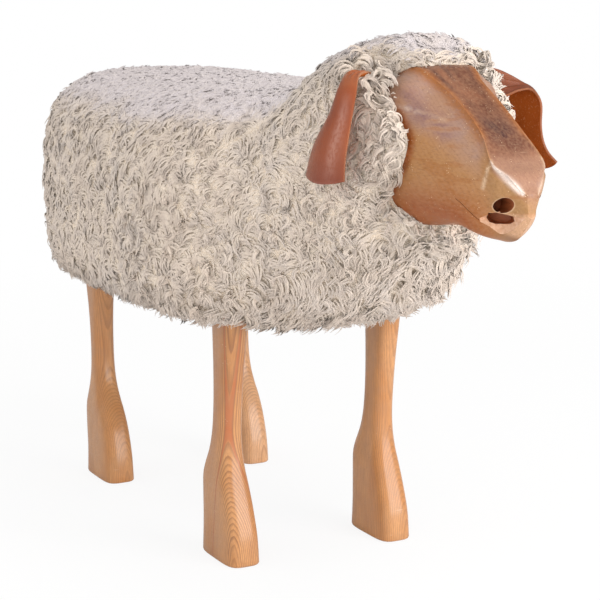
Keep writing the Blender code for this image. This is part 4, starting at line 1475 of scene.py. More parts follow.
    def flow(self, points: Array, normals: Array, matting: Array, seed: int) -> Array:
        """Work out which way the wool lies.

        Args:
            points: Places on the form.
            normals: The form's normals there.
            matting: How matted each place is.
            seed: Which disorder is meant.

        Returns:
            A direction along the skin for each place.
        """
        random = np.random.default_rng(seed)
        x, y, z = points.T
        down = np.tile([0.0, 0.0, -1.0], (len(points), 1))
        down[:, 1] -= 0.9 * smoothstep(-y, 0.20, 0.29)
        down[:, 0] += np.sign(x) * 0.5 * smoothstep(-normals[:, 2], 0.4, 0.9)
        over_temple = smoothstep(x, 0.026, 0.036) * smoothstep(-y, 0.240, 0.250) * smoothstep(z, 0.475, 0.490)
        down += over_temple[:, None] * np.array((0.5, -3.0, -0.4))
        down[:, 1] -= 1.6 * np.exp(-(((y - 0.25) / 0.09)**2 + ((z - 0.40) / 0.05)**2))
        angle = random.uniform(-math.pi, math.pi, len(points))
        loose = np.stack([np.cos(angle), np.sin(angle), np.zeros(len(points))], axis=1)
        course = down * (1 - matting[:, None]) + loose * (0.15 + matting[:, None])
        course = unit(course - normals * np.sum(course * normals, axis=1, keepdims=True))
        swing = 0.9 * lumps(points, 0.045, 21)
        return course * np.cos(swing)[:, None] + np.cross(normals, course) * np.sin(swing)[:, None]

    def grow(self, wool: Material) -> None:
        """Grow the locks area by area.

        Args:
            wool: The finish of the locks.
        """
        long_strand, short_strand = Strand(6), Strand(3)
        rows, turns = self.scatter(self.seat_spacing, self.seed)
        matting = self.read(self.matting, rows, turns)
        random = np.random.default_rng(self.seed + 1)
        kept = random.random(len(rows)) < np.where(matting > 0.5, 1.0, (self.seat_spacing / self.spacing)**2)
        seam = np.linspace(0.0, self.outer.shape[1], self.seam_strands, endpoint=False)
        across = self.split + random.uniform(-0.45, 0.45, len(seam))
        rows, turns = np.r_[rows[kept], across], np.r_[turns[kept], seam]
        matting = np.r_[matting[kept], self.read(self.matting, across, seam)]
        root = self.read(self.skin, rows, turns)
        free = self.is_free(root)
        normal = unit(self.read(self.normal, rows, turns))[free]
        matting, root = matting[free], root[free]
        area = self.areas(root, normal, matting)
        for short, strand, spacing in ((True, short_strand, self.seat_lock_spacing),
                                       (False, long_strand, self.lock_spacing)):
            chosen = (matting > 0.5) == short
            paths, widths, tints, outwards = self.paths(
                root[chosen], normal[chosen], matting[chosen], spacing, strand.segments, self.seed + 2 + short)
            traits = np.stack([tints, matting[chosen]], axis=1)
            for place in Wool:
                here = area[chosen] == place.value
                if here.any():
                    piece = strand.weave(f"{place.word}_locks", paths[here], outwards[here], widths[here],
                                         traits[here])
                    hand_over(dress(piece, wool), "wool")

    def hang_ringlets(self, wool: Material) -> None:
        """Hang ringlets in front of both ears' roots, along the wool's edge and on cheek and chest.

        Args:
            wool: The finish of the ringlets.
        """
        random = np.random.default_rng(self.seed + 9)
        for side in Side:
            mirror = side.mirror
            clumps = np.array(self.forelocks)
            anchors = np.repeat(clumps[:, :3], clumps[:, 3].astype(int), axis=0)
            anchors = (anchors + random.normal(0.0, 0.0045, anchors.shape)) * mirror
            begin, finish = (np.tile(course, (len(anchors), 1)) * mirror
                             for course in ((0.50, -0.85, 0.0), (0.15, -0.25, -1.0)))
            self.curl_ringlets(f"forelock_{side.word}", anchors, begin, finish, 1.0, wool, random)
            edge = smooth_line(self.form.edge, self.fringe_locks)[1:-1]
            tangent = unit(np.gradient(edge, axis=0))
            outward = unit((edge - (0.0, 0.0, 0.450)) * (1, 0, 1))
            anchors = edge + outward * 0.0045 + (0.0, 0.0035, 0.0) + random.normal(0.0, 0.0016, edge.shape)
            size = 0.40 + 0.30 * (1 - smoothstep(edge[:, 2], 0.500, 0.512))
            begin = (tangent * 0.45 + outward * 0.50 + (0.0, -0.50, 0.0)) * mirror
            finish = (tangent * 1.0 + outward * 0.05 + (0.0, 0.35, 0.0)) * mirror
            self.curl_ringlets(f"fringe_{side.word}", anchors * mirror, begin, finish, size, wool, random)
            for patch in self.patches:
                rows, turns = self.scatter(patch.spacing, self.seed + 12)
                place = self.read(self.outer, rows, turns) * mirror
                normal = unit(self.read(self.normal, rows, turns)) * mirror
                chosen = np.all((place > patch.low) & (place < patch.high), axis=1)
                chosen &= np.abs(normal[:, 2]) < 0.75
                place, normal = place[chosen] * mirror, normal[chosen] * mirror
                self.curl_ringlets(
                    f"{patch.name}_ringlets_{side.word}", place - normal * self.patch_depth,
                    normal * 0.75 + (0.0, -0.30, -0.45), normal * 0.15 + (0.0, -0.15, -1.0),
                    patch.size, wool, random, patch.strands)

    def curl_ringlets(self, name: str, anchors: Array, begin: Array, finish: Array, size: object,
                      wool: Material, random: np.random.Generator, strands: int = 11) -> None:
        """Curl one piece's ringlets.

        Args:
            name: The piece's name.
            anchors: Where the ringlets start.
            begin: The directions in which they start.
            finish: The directions in which they end.
            size: Their size against the largest, one for all or one for each.
            wool: Their finish.
            random: The source of their disorder.
            strands: How many strands a ringlet has.
        """
        strand = Strand(10)
        t = np.linspace(0.0, 1.0, strand.segments + 1)[None, :, None]
        locks = len(anchors)
        begin = unit(begin + random.normal(0, 0.25, (locks, 3)))
        finish = unit(finish + random.normal(0, 0.30, (locks, 3)))
        length = random.uniform(0.016, 0.024, locks) * size
        radius = random.uniform(0.0022, 0.0042, locks) * size
        turns = random.choice([-1.0, 1.0], locks) * random.uniform(0.7, 1.3, locks)
        phase = random.uniform(0, 2 * math.pi, locks)
        lock = np.repeat(np.arange(locks), strands)
        count = len(lock)
        length, radius, turns, phase = (each[lock, None, None] for each in (length, radius, turns, phase))
        heading = unit(begin[lock, None] * (1 - t) + finish[lock, None] * t)
        stretch = random.uniform(0.72, 1.10, (count, 1, 1))
        line = np.cumsum(heading * (stretch * length / strand.segments), axis=1)
        level = unit(np.cross(begin[lock], finish[lock]))
        third = unit(np.cross(level, unit(begin[lock] + finish[lock])))
        angle = 2 * math.pi * turns * t + phase + random.normal(0, 0.16, (count, 1, 1))
        swell = radius * np.minimum(1.0, 0.3 + 1.6 * t)
        line = line + swell * (np.cos(angle) * level[:, None] + np.sin(angle) * third[:, None])
        line = line + anchors[lock, None] + random.normal(0, 0.0011, (count, 1, 3))
        outward = unit(begin[lock] + (0.0, -0.2, 0.3))
        widths = 0.0020 * random.uniform(0.8, 1.2, count)
        traits = np.stack([random.random(count), np.zeros(count)], axis=1)
        hand_over(dress(strand.weave(name, line, outward, widths, traits), wool), "wool")

    def wisp_amount(self, points: Array) -> Array:
        """Tell how far places lie within the long wisps round each ear's root."""
        folded = np.column_stack([np.abs(points[:, 0]), points[:, 1:]])
        return bell(distance_to(np.array(self.wisp_centres), folded), self.wisp_reach)

    def is_free(self, points: Array) -> Array:
        """Tell which places carry wool: not over the belly opening and not in the ears' sweep.

        Args:
            points: Places on the skin.

        Returns:
            True or False for each place.
        """
        low, high = np.array(self.opening)
        margin = self.opening_margin
        over_opening = np.all((points > low - margin) & (points < high + margin), axis=1)
        folded = np.column_stack([np.abs(points[:, 0]), points[:, 1:]])
        return ~over_opening & ~np.all((folded > self.sweep_low) & (folded < self.sweep_high), axis=1)

    def areas(self, points: Array, normals: Array, matting: Array) -> Array:
        """Name the area that each place belongs to.

        Args:
            points: Places on the skin.
            normals: The form's normals there.
            matting: How matted each place is.

        Returns:
            The value of the area for each place.
        """
        right, body = points[:, 0] < 0, points[:, 1] > self.seam_y
        rear, matted = points[:, 1] > self.flank_split, matting > 0.5
        area = np.full(len(points), Wool.LEFT_NECK.value)
        for place, here in (
                (Wool.RIGHT_NECK, right),
                (Wool.CHEST, ~body & (np.abs(points[:, 0]) < 0.06) & (normals[:, 2] < 0.0)),
                (Wool.CAP, ~body & matted),
                (Wool.RIGHT_REAR_FLANK, body & right & rear),
                (Wool.RIGHT_FRONT_FLANK, body & right & ~rear),
                (Wool.LEFT_REAR_FLANK, body & ~right & rear),
                (Wool.LEFT_FRONT_FLANK, body & ~right & ~rear),
                (Wool.RUMP, body & (normals[:, 1] > 0.55)),
                (Wool.REAR_SEAT, body & matted & rear),
                (Wool.FRONT_SEAT, body & matted & ~rear)):
            area[here] = place.value
        return area

    def paths(self, roots: Array, normals: Array, matting: Array, spacing: float, segments: int,
              seed: int) -> tuple[Array, Array, Array, Array]:
        """Bend the strands into locks that curl together.

        Args:
            roots: Where the strands leave the skin.
            normals: The form's normals there.
            matting: How matted each place is.
            spacing: The distance between locks.
            segments: How many segments a strand has.
            seed: Which wool is meant.

        Returns:
            The centre lines, the widths, the tints and the directions away from the skin.
        """
        habit = self.habit
        random = np.random.default_rng(seed)
        rows, turns = self.scatter(spacing, seed + 40)
        centre = self.read(self.skin, rows, turns)
        centre_normal = unit(self.read(self.normal, rows, turns))
        course = self.flow(centre, centre_normal, self.read(self.matting, rows, turns), seed + 80)
        lock, _ = nearest(centre, roots)
        count, locks = len(roots), len(centre)
        lock_turn = random.uniform(-habit.turn, habit.turn, locks)
        lock_curl = random.choice([-1.0, 1.0], locks) * random.uniform(*habit.curl, locks)
        lock_length = random.uniform(*habit.lengths, locks)
        lock_rise = random.uniform(*habit.rises, locks)
        lock_tint = random.uniform(0.0, 1.0, locks)
        normal = unit(normals + centre_normal[lock] * 1.2)
        forward = course[lock]
        forward = unit(forward - normal * np.sum(forward * normal, axis=1, keepdims=True))
        side = np.cross(normal, forward)
        t = (np.arange(segments) + 0.5) / segments
        flat = matting[:, None]
        wispy = self.wisp_amount(roots)[:, None]
        standing = 0.45 * wispy * (roots[:, :1] < 0) + 0.50 * smoothstep(-normals[:, 2:], 0.25, 0.75)
        first = (habit.root_lean + lock_rise[lock, None] + random.normal(0, 0.10, (count, 1))
                 + 0.50 * flat - standing)
        last = habit.tip_lean + random.normal(0, 0.14, (count, 1)) - 0.40 * flat - 1.2 * standing
        lean = (first + (last - first) * t**0.9)[..., None]
        curl = lock_curl[lock, None] * (1 - 0.45 * flat) + random.normal(0, 0.16, (count, 1))
        heading = (lock_turn[lock, None] + random.normal(0, 0.08, (count, 1)) + curl * (0.85 - t))[..., None]
        length = ((habit.length - habit.matted_loss * matting) * lock_length[lock]
                  * random.uniform(0.86, 1.12, count))
        length *= 1 + self.wisp_gain * wispy[:, 0]
        across = forward[:, None] * np.cos(heading) + side[:, None] * np.sin(heading)
        step = normal[:, None] * np.cos(lean) + across * np.sin(lean)
        line = np.cumsum(step * (length / segments)[:, None, None], axis=1)
        line = np.concatenate([np.zeros((count, 1, 3)), line], axis=1)
        gathered = np.where(random.random(count) < habit.loose_share, habit.loose_pull, habit.tight_pull)
        pull = gathered[:, None] * np.linspace(0.0, 1.0, segments + 1)**1.4
        line = roots[:, None] + line + (centre[lock] - roots)[:, None] * pull[..., None]
        line[:, 0] -= normal * habit.root_sink
        widths = (habit.width + 0.0003 * matting) * random.uniform(0.75, 1.25, count)
        tints = np.clip(0.55 * lock_tint[lock] + 0.45 * random.random(count), 0.0, 1.0)
        return line, widths, tints, normal


# The head


@dataclass
class Head:
    """The carved head: a loft from the neck to the nose with its ridges, nostrils and mouth.

    Each row is a section's y, crown height, five pairs of x and z, and chin height.
    """

    rows: Rows = (
        (-0.2040, 0.5020, 0.0260, 0.5010, 0.0460, 0.4890, 0.0550, 0.4500, 0.0480, 0.4050, 0.0280, 0.3840, 0.3810),
        (-0.2740, 0.5185, 0.0292, 0.5173, 0.0475, 0.5030, 0.0560, 0.4580, 0.0480, 0.4080, 0.0280, 0.3800, 0.3765),
        (-0.3085, 0.5030, 0.0226, 0.5047, 0.0400, 0.4880, 0.0520, 0.4530, 0.0460, 0.4090, 0.0270, 0.3840, 0.3795),
        (-0.3426, 0.4840, 0.0208, 0.4871, 0.0320, 0.4700, 0.0440, 0.4420, 0.0400, 0.4070, 0.0260, 0.3870, 0.3830),
        (-0.3735, 0.4645, 0.0213, 0.4666, 0.0270, 0.4560, 0.0345, 0.4330, 0.0310, 0.4040, 0.0215, 0.3820, 0.3745),
        (-0.3972, 0.4430, 0.0262, 0.4440, 0.0275, 0.4340, 0.0245, 0.4165, 0.0165, 0.3985, 0.0105, 0.3845, 0.3770),
        (-0.4095, 0.4347, 0.0180, 0.4337, 0.0182, 0.4280, 0.0150, 0.4165, 0.0105, 0.4040, 0.0085, 0.3930, 0.3868),
        (-0.4160, 0.4240, 0.0105, 0.4230, 0.0102, 0.4180, 0.0088, 0.4120, 0.0068, 0.4050, 0.0058, 0.3980, 0.3945),
        (-0.4192, 0.4190, 0.0052, 0.4184, 0.0052, 0.4150, 0.0044, 0.4100, 0.0036, 0.4045, 0.0030, 0.4000, 0.3980),
    )
    steps: int = 13
    brow_points: int = 14
    temple_points: int = 13
    temple_hollow: float = 0.0012
    side_points: int = 58
    nostril: Point = (0.0160, -0.3982, 0.4086)
    nostril_radius: float = 0.0067
    nostril_depth: float = 0.018
    nostril_yaw: float = math.radians(12.0)
    dowel_x: float = 0.018
    dowel_z: float = 0.448
    dowel_radius: float = 0.0053
    dowel_start: float = -0.19
    dowel_end: float = -0.2293
    upper_lip: tuple[Point, ...] = (
        (0.0253, -0.3805, 0.3965), (0.0219, -0.3893, 0.4006), (0.0200, -0.3937, 0.4024),
        (0.0145, -0.4016, 0.4013), (0.0102, -0.4088, 0.4000), (0.0068, -0.4155, 0.4000),
        (0.0030, -0.4205, 0.4008), (0.0, -0.4230, 0.4012),
    )
    lower_rim: tuple[Point, ...] = (
        (0.0249, -0.3799, 0.3942), (0.0202, -0.3860, 0.3896), (0.0170, -0.3890, 0.3870),
        (0.0120, -0.3930, 0.3830), (0.0098, -0.3990, 0.3840), (0.0078, -0.4085, 0.3885),
        (0.0052, -0.4165, 0.3950), (0.0026, -0.4203, 0.3985), (0.0, -0.4230, 0.3995),
    )
    notch_depth: tuple[float, ...] = (0.0010, 0.0060, 0.0080, 0.0080, 0.0065, 0.0030, 0.0008, 0.0, 0.0)
    pocket: tuple[Point, ...] = (
        (0.0226, -0.3889, 0.4014), (0.0100, -0.4072, 0.3990), (0.0090, -0.4078, 0.3950),
        (0.0108, -0.4048, 0.3924), (0.0140, -0.4000, 0.3912), (0.0185, -0.3940, 0.3912),
        (0.0218, -0.3892, 0.3928), (0.0232, -0.3872, 0.3962),
    )
    slit: tuple[Point, ...] = (
        (0.0370, -0.3600, 0.4110), (0.0346, -0.3646, 0.4079), (0.0302, -0.3725, 0.4004),
        (0.0249, -0.3795, 0.3940),
    )
    slit_width: float = 0.0009
    slit_depth: float = 0.0045
    nose_edge: tuple[Point, ...] = (
        (0.0256, -0.3957, 0.4455), (0.0264, -0.3985, 0.4417), (0.0230, -0.4053, 0.4364),
        (0.0172, -0.4117, 0.4293), (0.0080, -0.4175, 0.4195),
    )
    muzzle_edge: tuple[Point, ...] = (
        (0.0270, -0.3948, 0.4447), (0.0281, -0.3924, 0.4337), (0.0284, -0.3888, 0.4225))
    temple_crease: tuple[Point, ...] = (
        (0.0500, -0.2617, 0.4923), (0.0496, -0.2920, 0.4838), (0.0398, -0.3174, 0.4792),
        (0.0329, -0.3355, 0.4752),
    )
    worn_width: float = 0.0017
    regions: tuple[str, ...] = ("violet", "under", "shine", "chin", "brow", "bridge", "plum", "nose",
                                "rubbed", "throat", "muzzle", "worn")

    def build(self, wood: Material, cut_wood: Material, bore: Material) -> None:
        """Carve the head.

        Args:
            wood: The lacquered outer finish.
            cut_wood: The pale finish of the mouth's floor.
            bore: The dark finish inside the nostrils and the mouth's pockets.
        """
        piece = wrap_grid("carved_head", np.array([self.section(row) for row in spline(self.rows, self.steps)]))
        dress(piece, wood)
        for side in Side:
            cut(piece, self.slit_tool(side), bore)
        cut(piece, self.notch_tool(), cut_wood)
        for side in Side:
            cut(piece, self.pocket_tool(side), bore)
            cut(piece, self.nostril_tool(side), bore)
            start, end = (Vector((side.value * self.dowel_x, y, self.dowel_z))
                          for y in (self.dowel_start, self.dowel_end))
            cut(piece, add_bore("dowel_bore", start, end, self.dowel_radius), cut_wood)
        self.paint_regions(piece)
        smooth(piece, 33.0)
        hand_over(piece, "head_wood", "head")

    def section(self, row: Array) -> Array:
        """Return one closed upright section of the head.

        Args:
            row: One row of the head's table.

        Returns:
            Points from the crown down one side to the chin and up the other.
        """
        y, crown, *pairs, chin = row
        keys = np.array([(0.0, crown), *zip(pairs[::2], pairs[1::2]), (0.0, chin)])
        brow = np.linspace(keys[0], keys[1], self.brow_points)[:-1]
        temple = np.linspace(keys[1], keys[2], self.temple_points)
        temple[:, 0] -= self.temple_hollow * np.sin(np.linspace(0.0, math.pi, self.temple_points))
        curve = respaced(spline(keys[1:], 12)[12:], self.side_points)
        half = np.vstack([brow, temple[:-1], curve])
        half = np.vstack([half, half[-2:0:-1] * (-1, 1)])
        return np.stack([half[:, 0], np.full(len(half), y), half[:, 1]], axis=1)

    def slit_tool(self, side: Side) -> Piece:
        """Return the thin slanting cutter for one corner of the mouth.

        Args:
            side: The corner's side.

        Returns:
            The cutter.
        """
        line = respaced(np.array(self.slit), 9) * side.mirror
        outward = unit(np.array((side.value * 0.86, -0.45, -0.18)))
        half = self.slit_width / 2 * unit(np.cross(unit(np.gradient(line, axis=0)), outward))
        depth = self.slit_depth * np.sin(np.linspace(0.25, 2.2, len(line)))[:, None]
        inner, outer = line - outward * depth, line + outward * 0.010
        return wrap_grid("mouth_slit", np.stack(
            [inner - half * 0.4, outer - half, outer + half, inner + half * 0.4], axis=1))

    def mouth_lines(self) -> tuple[Array, Array, Array]:
        """Return the upper lip, the lower rim and the notch's depth from corner to corner."""
        halves = [smooth_line(line, 21) for line in (self.upper_lip, self.lower_rim)]
        upper, lower = (np.vstack([half, half[-2::-1] * (-1, 1, 1)]) for half in halves)
        depth = np.interp(np.linspace(0, 1, 21), np.linspace(0, 1, len(self.notch_depth)), self.notch_depth)
        return upper, lower, np.r_[depth, depth[-2::-1]]

    def notch_tool(self) -> Piece:
        """Return the wedge that opens the mouth all round the muzzle.

        Returns:
            The cutter.
        """
        upper, lower, depth = self.mouth_lines()
        outward = unit(np.cross(unit(np.gradient(upper, axis=0)), (0.0, 0.0, 1.0)))
        outward *= np.sign(np.sum(outward * (upper - (0.0, -0.385, 0.395)), axis=1, keepdims=True))
        inner = (upper + lower) / 2
        inner[:, 2] = upper[:, 2] - 0.0006
        inner = inner - outward * depth[:, None]
        lines = [inner, inner - (0, 0, 0.0003), lower + unit(lower - inner) * 0.006, upper + outward * 0.008]
        return wrap_grid("mouth_notch", np.stack(lines, axis=1))

    def pocket_tool(self, side: Side) -> Piece:
        """Return the cutter of the deep pocket below one nostril.

        Args:
            side: The nostril's side.

        Returns:
            The cutter.
        """
        outline = np.array(self.pocket) * side.mirror
        inward = unit(np.array((-side.value * 0.55, 0.83, 0.02)))
        middle = outline.mean(axis=0)
        deepest = middle + (outline - middle) * 0.8 + inward * 0.015
        return wrap_grid("mouth_pocket", np.array([outline - inward * 0.004, outline + inward * 0.007, deepest]))

    def nostril_tool(self, side: Side) -> Piece:
        """Return the drill that bores one nostril.

        Args:
            side: The nostril's side.

        Returns:
            The cutter.
        """
        yaw = self.nostril_yaw
        outward = Vector((side.value * math.sin(yaw), -math.cos(yaw), 0.05)).normalized()
        start = Vector(self.nostril) * Vector(side.mirror)
        return add_bore("nostril", start - outward * self.nostril_depth, start + outward * 0.02,
                        self.nostril_radius, 40)

    def paint_regions(self, piece: Piece) -> None:
        """Store where the head's wood is greyed, orange from rubbing or darker, and where it carries painted
        shade and painted highlights, as values on its points.

        Args:
            piece: The carved head.
        """
        co = np.array([vertex.co[:] for vertex in piece.data.vertices])
        x, y, z = np.abs(co[:, 0]), co[:, 1], co[:, 2]
        folded = np.column_stack([x, y, z])
        table = spline(self.rows, self.steps)[::-1]
        ridge_x, ridge_z, temple_z = (np.interp(y, table[:, 0], table[:, column]) for column in (2, 3, 5))
        wander = 0.003 * lumps(co, 0.022, 8) + 0.0012 * lumps(co, 0.008, 9)
        above = smoothstep(ridge_x - x + wander * 0.3, -0.0015, 0.0025) * smoothstep(z - ridge_z, -0.009, -0.004)
        side_of_face = 1 - above
        front = smoothstep(-y + wander, 0.384, 0.400)
        brow = (smoothstep(z - (temple_z - 0.020) + wander * 2.2, -0.006, 0.012)
                * (1 - smoothstep(-y, 0.375, 0.392)))
        rubbed = bell(np.abs(x - ridge_x - 0.0012) + 0.4 * np.abs(z - ridge_z), 0.0052)
        rubbed *= 1 - smoothstep(-y, 0.372, 0.386)
        _, near_wool = nearest(spline(FleeceForm().edge, 5), folded)
        # Painted shade: darker low on the face and in a band next to the wool's edge.
        low = 1 - smoothstep(z + wander, 0.390, 0.438)
        throat = np.maximum(1 - smoothstep(near_wool + wander, 0.003, 0.012),
                            low * (1 - 0.55 * smoothstep(-y, 0.355, 0.395)))
        plum = bell(co[:, 0] + 0.002, 0.019) * bell(y + 0.3690, 0.018)
        plum = np.maximum(plum, 0.8 * bell(x - 0.004, 0.0035) * bell(y + 0.292, 0.014))
        streak = x - ridge_x + 0.7 * (0.0045 + 0.35 * (ridge_x - 0.0045))
        plum = np.maximum(plum, 0.75 * bell(streak, 0.0030) * bell(y + 0.300, 0.022))
        # Pale lines along the nose's edges and the temple crease: partly wear and partly painted highlight.
        worn = np.zeros(len(co))
        for line, strength in ((self.nose_edge, 0.8), (self.muzzle_edge, 1.0), (self.temple_crease, 0.35)):
            worn = np.maximum(worn, strength * bell(distance_to(smooth_line(line, 60), folded), self.worn_width))
        # Painted highlight: a near-white band beside the nose's edge, a quarter as strong on the left side, and a
        # glint along the temple crease.
        edge = smooth_line(self.nose_edge, 60)
        apart = np.linalg.norm(folded[:, None] - edge[None], axis=2)
        share = apart.argmin(axis=1) / (len(edge) - 1)
        spread = (0.0012 + 0.0034 * share) * np.sin(math.pi * np.clip(0.06 + 0.90 * share, 0.0, 1.0))**0.5
        over = smoothstep(ridge_x - x, -0.0034, -0.0010) * smoothstep(z - ridge_z, -0.014, -0.008)
        shine = bell(apart.min(axis=1), spread) * over * np.where(co[:, 0] > 0.002, 0.25, 1.0)
        glint = 0.42 * bell(distance_to(smooth_line(self.temple_crease, 40), folded), 0.0024)
        glint *= (1 - smoothstep(-y, 0.290, 0.318)) * smoothstep(lumps(co, 0.004, 31), -0.3, 0.5)
        chin = (smoothstep(-y + wander * 0.5, 0.393, 0.402) * (1 - smoothstep(z, 0.400, 0.4035))
                * smoothstep(z + wander * 0.4, 0.3785, 0.3835))
        under = front * (1 - smoothstep(z + wander * 0.6, 0.3790, 0.3890)) * (1 - smoothstep(-y, 0.400, 0.408))
        violet = (bell(z - temple_z + 0.006 + wander, 0.0085) * smoothstep(-y, 0.272, 0.300)
                  * (1 - smoothstep(-y, 0.335, 0.358)))
        values = (violet * side_of_face, under, np.maximum(shine, glint), chin, brow * side_of_face, above,
                  plum * above, above * front, rubbed, throat * side_of_face, front * side_of_face, worn)
        for name, value in zip(self.regions, values):
            store(piece.data, name, np.clip(value, 0.0, 1.0))


# The ears


@dataclass
class Ears:
    """Two leather ears, each a cupped sheet that bends at its root.

    Each row goes across the ear, from its front edge to its back edge.
    """

    right: Rows = (
        (0.0525, -0.2590, 0.5070, 0.0525, -0.2430, 0.5070),
        (0.0660, -0.2620, 0.5110, 0.0660, -0.2440, 0.5110),
        (0.0800, -0.2700, 0.5105, 0.0800, -0.2480, 0.5105),
        (0.0925, -0.2870, 0.4970, 0.0930, -0.2570, 0.4985),
        (0.0990, -0.2905, 0.4750, 0.0995, -0.2530, 0.4770),
        (0.1040, -0.2930, 0.4560, 0.1055, -0.2410, 0.4550),
        (0.1080, -0.2955, 0.4400, 0.1090, -0.2360, 0.4400),
        (0.1100, -0.2975, 0.4225, 0.1125, -0.2335, 0.4215),
    )
    left: Rows = (
        (0.0525, -0.2600, 0.5030, 0.0525, -0.2450, 0.5100),
        (0.0600, -0.2680, 0.4882, 0.0660, -0.2530, 0.5120),
        (0.0680, -0.2754, 0.4871, 0.0770, -0.2580, 0.5100),
        (0.0800, -0.2801, 0.4932, 0.0850, -0.2640, 0.5040),
        (0.0910, -0.2863, 0.4940, 0.0880, -0.2680, 0.4970),
        (0.0965, -0.2931, 0.4823, 0.0840, -0.2600, 0.4860),
        (0.0975, -0.2925, 0.4623, 0.0830, -0.2480, 0.4594),
        (0.1000, -0.2927, 0.4485, 0.0860, -0.2441, 0.4450),
        (0.1040, -0.2954, 0.4376, 0.0920, -0.2440, 0.4326),
        (0.1130, -0.2973, 0.4278, 0.1020, -0.2546, 0.4220),
    )
    steps: int = 5
    columns: int = 17
    cup: float = 0.006
    fade_rows: int = 15
    tongue: float = 0.0045
    thickness: float = 0.0019
    wrinkle: float = 0.0017
    edge_width: float = 0.0006

    def build(self, grains: dict[Side, Material], flesh: Material, edge: Material) -> None:
        """Build both ears, each with its own grain side and both with the same flesh side and edge."""
        for side in Side:
            self.add_ear(side, grains[side], flesh, edge)

    def add_ear(self, side: Side, *finishes: Material) -> None:
        """Build one ear.

        Args:
            side: Which side of the head it hangs on.
            finishes: The outer side, the inner side and the cut edge.
        """
        rows = spline(self.right if side is Side.RIGHT else self.left, self.steps)
        t = np.linspace(0.0, 1.0, self.columns)[None, :, None]
        points = rows[:, None, :3] * (1 - t) + rows[:, None, 3:] * t
        t = t[..., 0]
        fade = np.minimum(1.0, np.arange(len(rows)) / self.fade_rows)[:, None]
        bow = 1 - (2 * t - 1)**2
        down = np.linspace(0.0, 1.0, len(rows))[:, None]
        pleat = self.wrinkle * np.sin(t * 21.0 + down * 9.0) * bell(down - 0.16, 0.14)
        points[..., 0] += self.cup * fade * bow
        points[..., 2] += pleat - self.tongue * bow * smoothstep(down, 0.80, 1.0)
        points[..., 0] -= 0.6 * pleat
        points *= side.mirror
        piece = wrap_grid(f"leather_ear_{side.word}", points, closed=False)
        total = sum((face.normal * face.area for face in piece.data.polygons), Vector())
        if total.dot(Vector((side.value, 0.0, 0.35))) < 0:
            turn_over(piece)
        dress(piece, *finishes)
        # A painted sheen band down the ear's front part, which also stands for leather paled by rubbing.
        rubbed = (bell(t - 0.17 - 0.10 * down, 0.11) * smoothstep(down, 0.40, 0.60)
                  * (1 - 0.6 * smoothstep(down, 0.86, 1.0)))
        store(piece.data, "rubbed", rubbed.ravel())
        wall = add_wall(piece, self.thickness, 0.0)
        wall.use_even_offset = True
        wall.material_offset = 1
        wall.material_offset_rim = 2
        edges = piece.modifiers.new("edges", "BEVEL")
        edges.width = self.edge_width
        edges.segments = 2
        edges.limit_method = "ANGLE"
        edges.angle_limit = math.radians(60.0)
        finish_modifiers(piece)
        smooth(piece, 50.0)
        hand_over(piece, "leather", f"ear_{side.word}", body=f"ear_{side.word}_flap")


# The legs


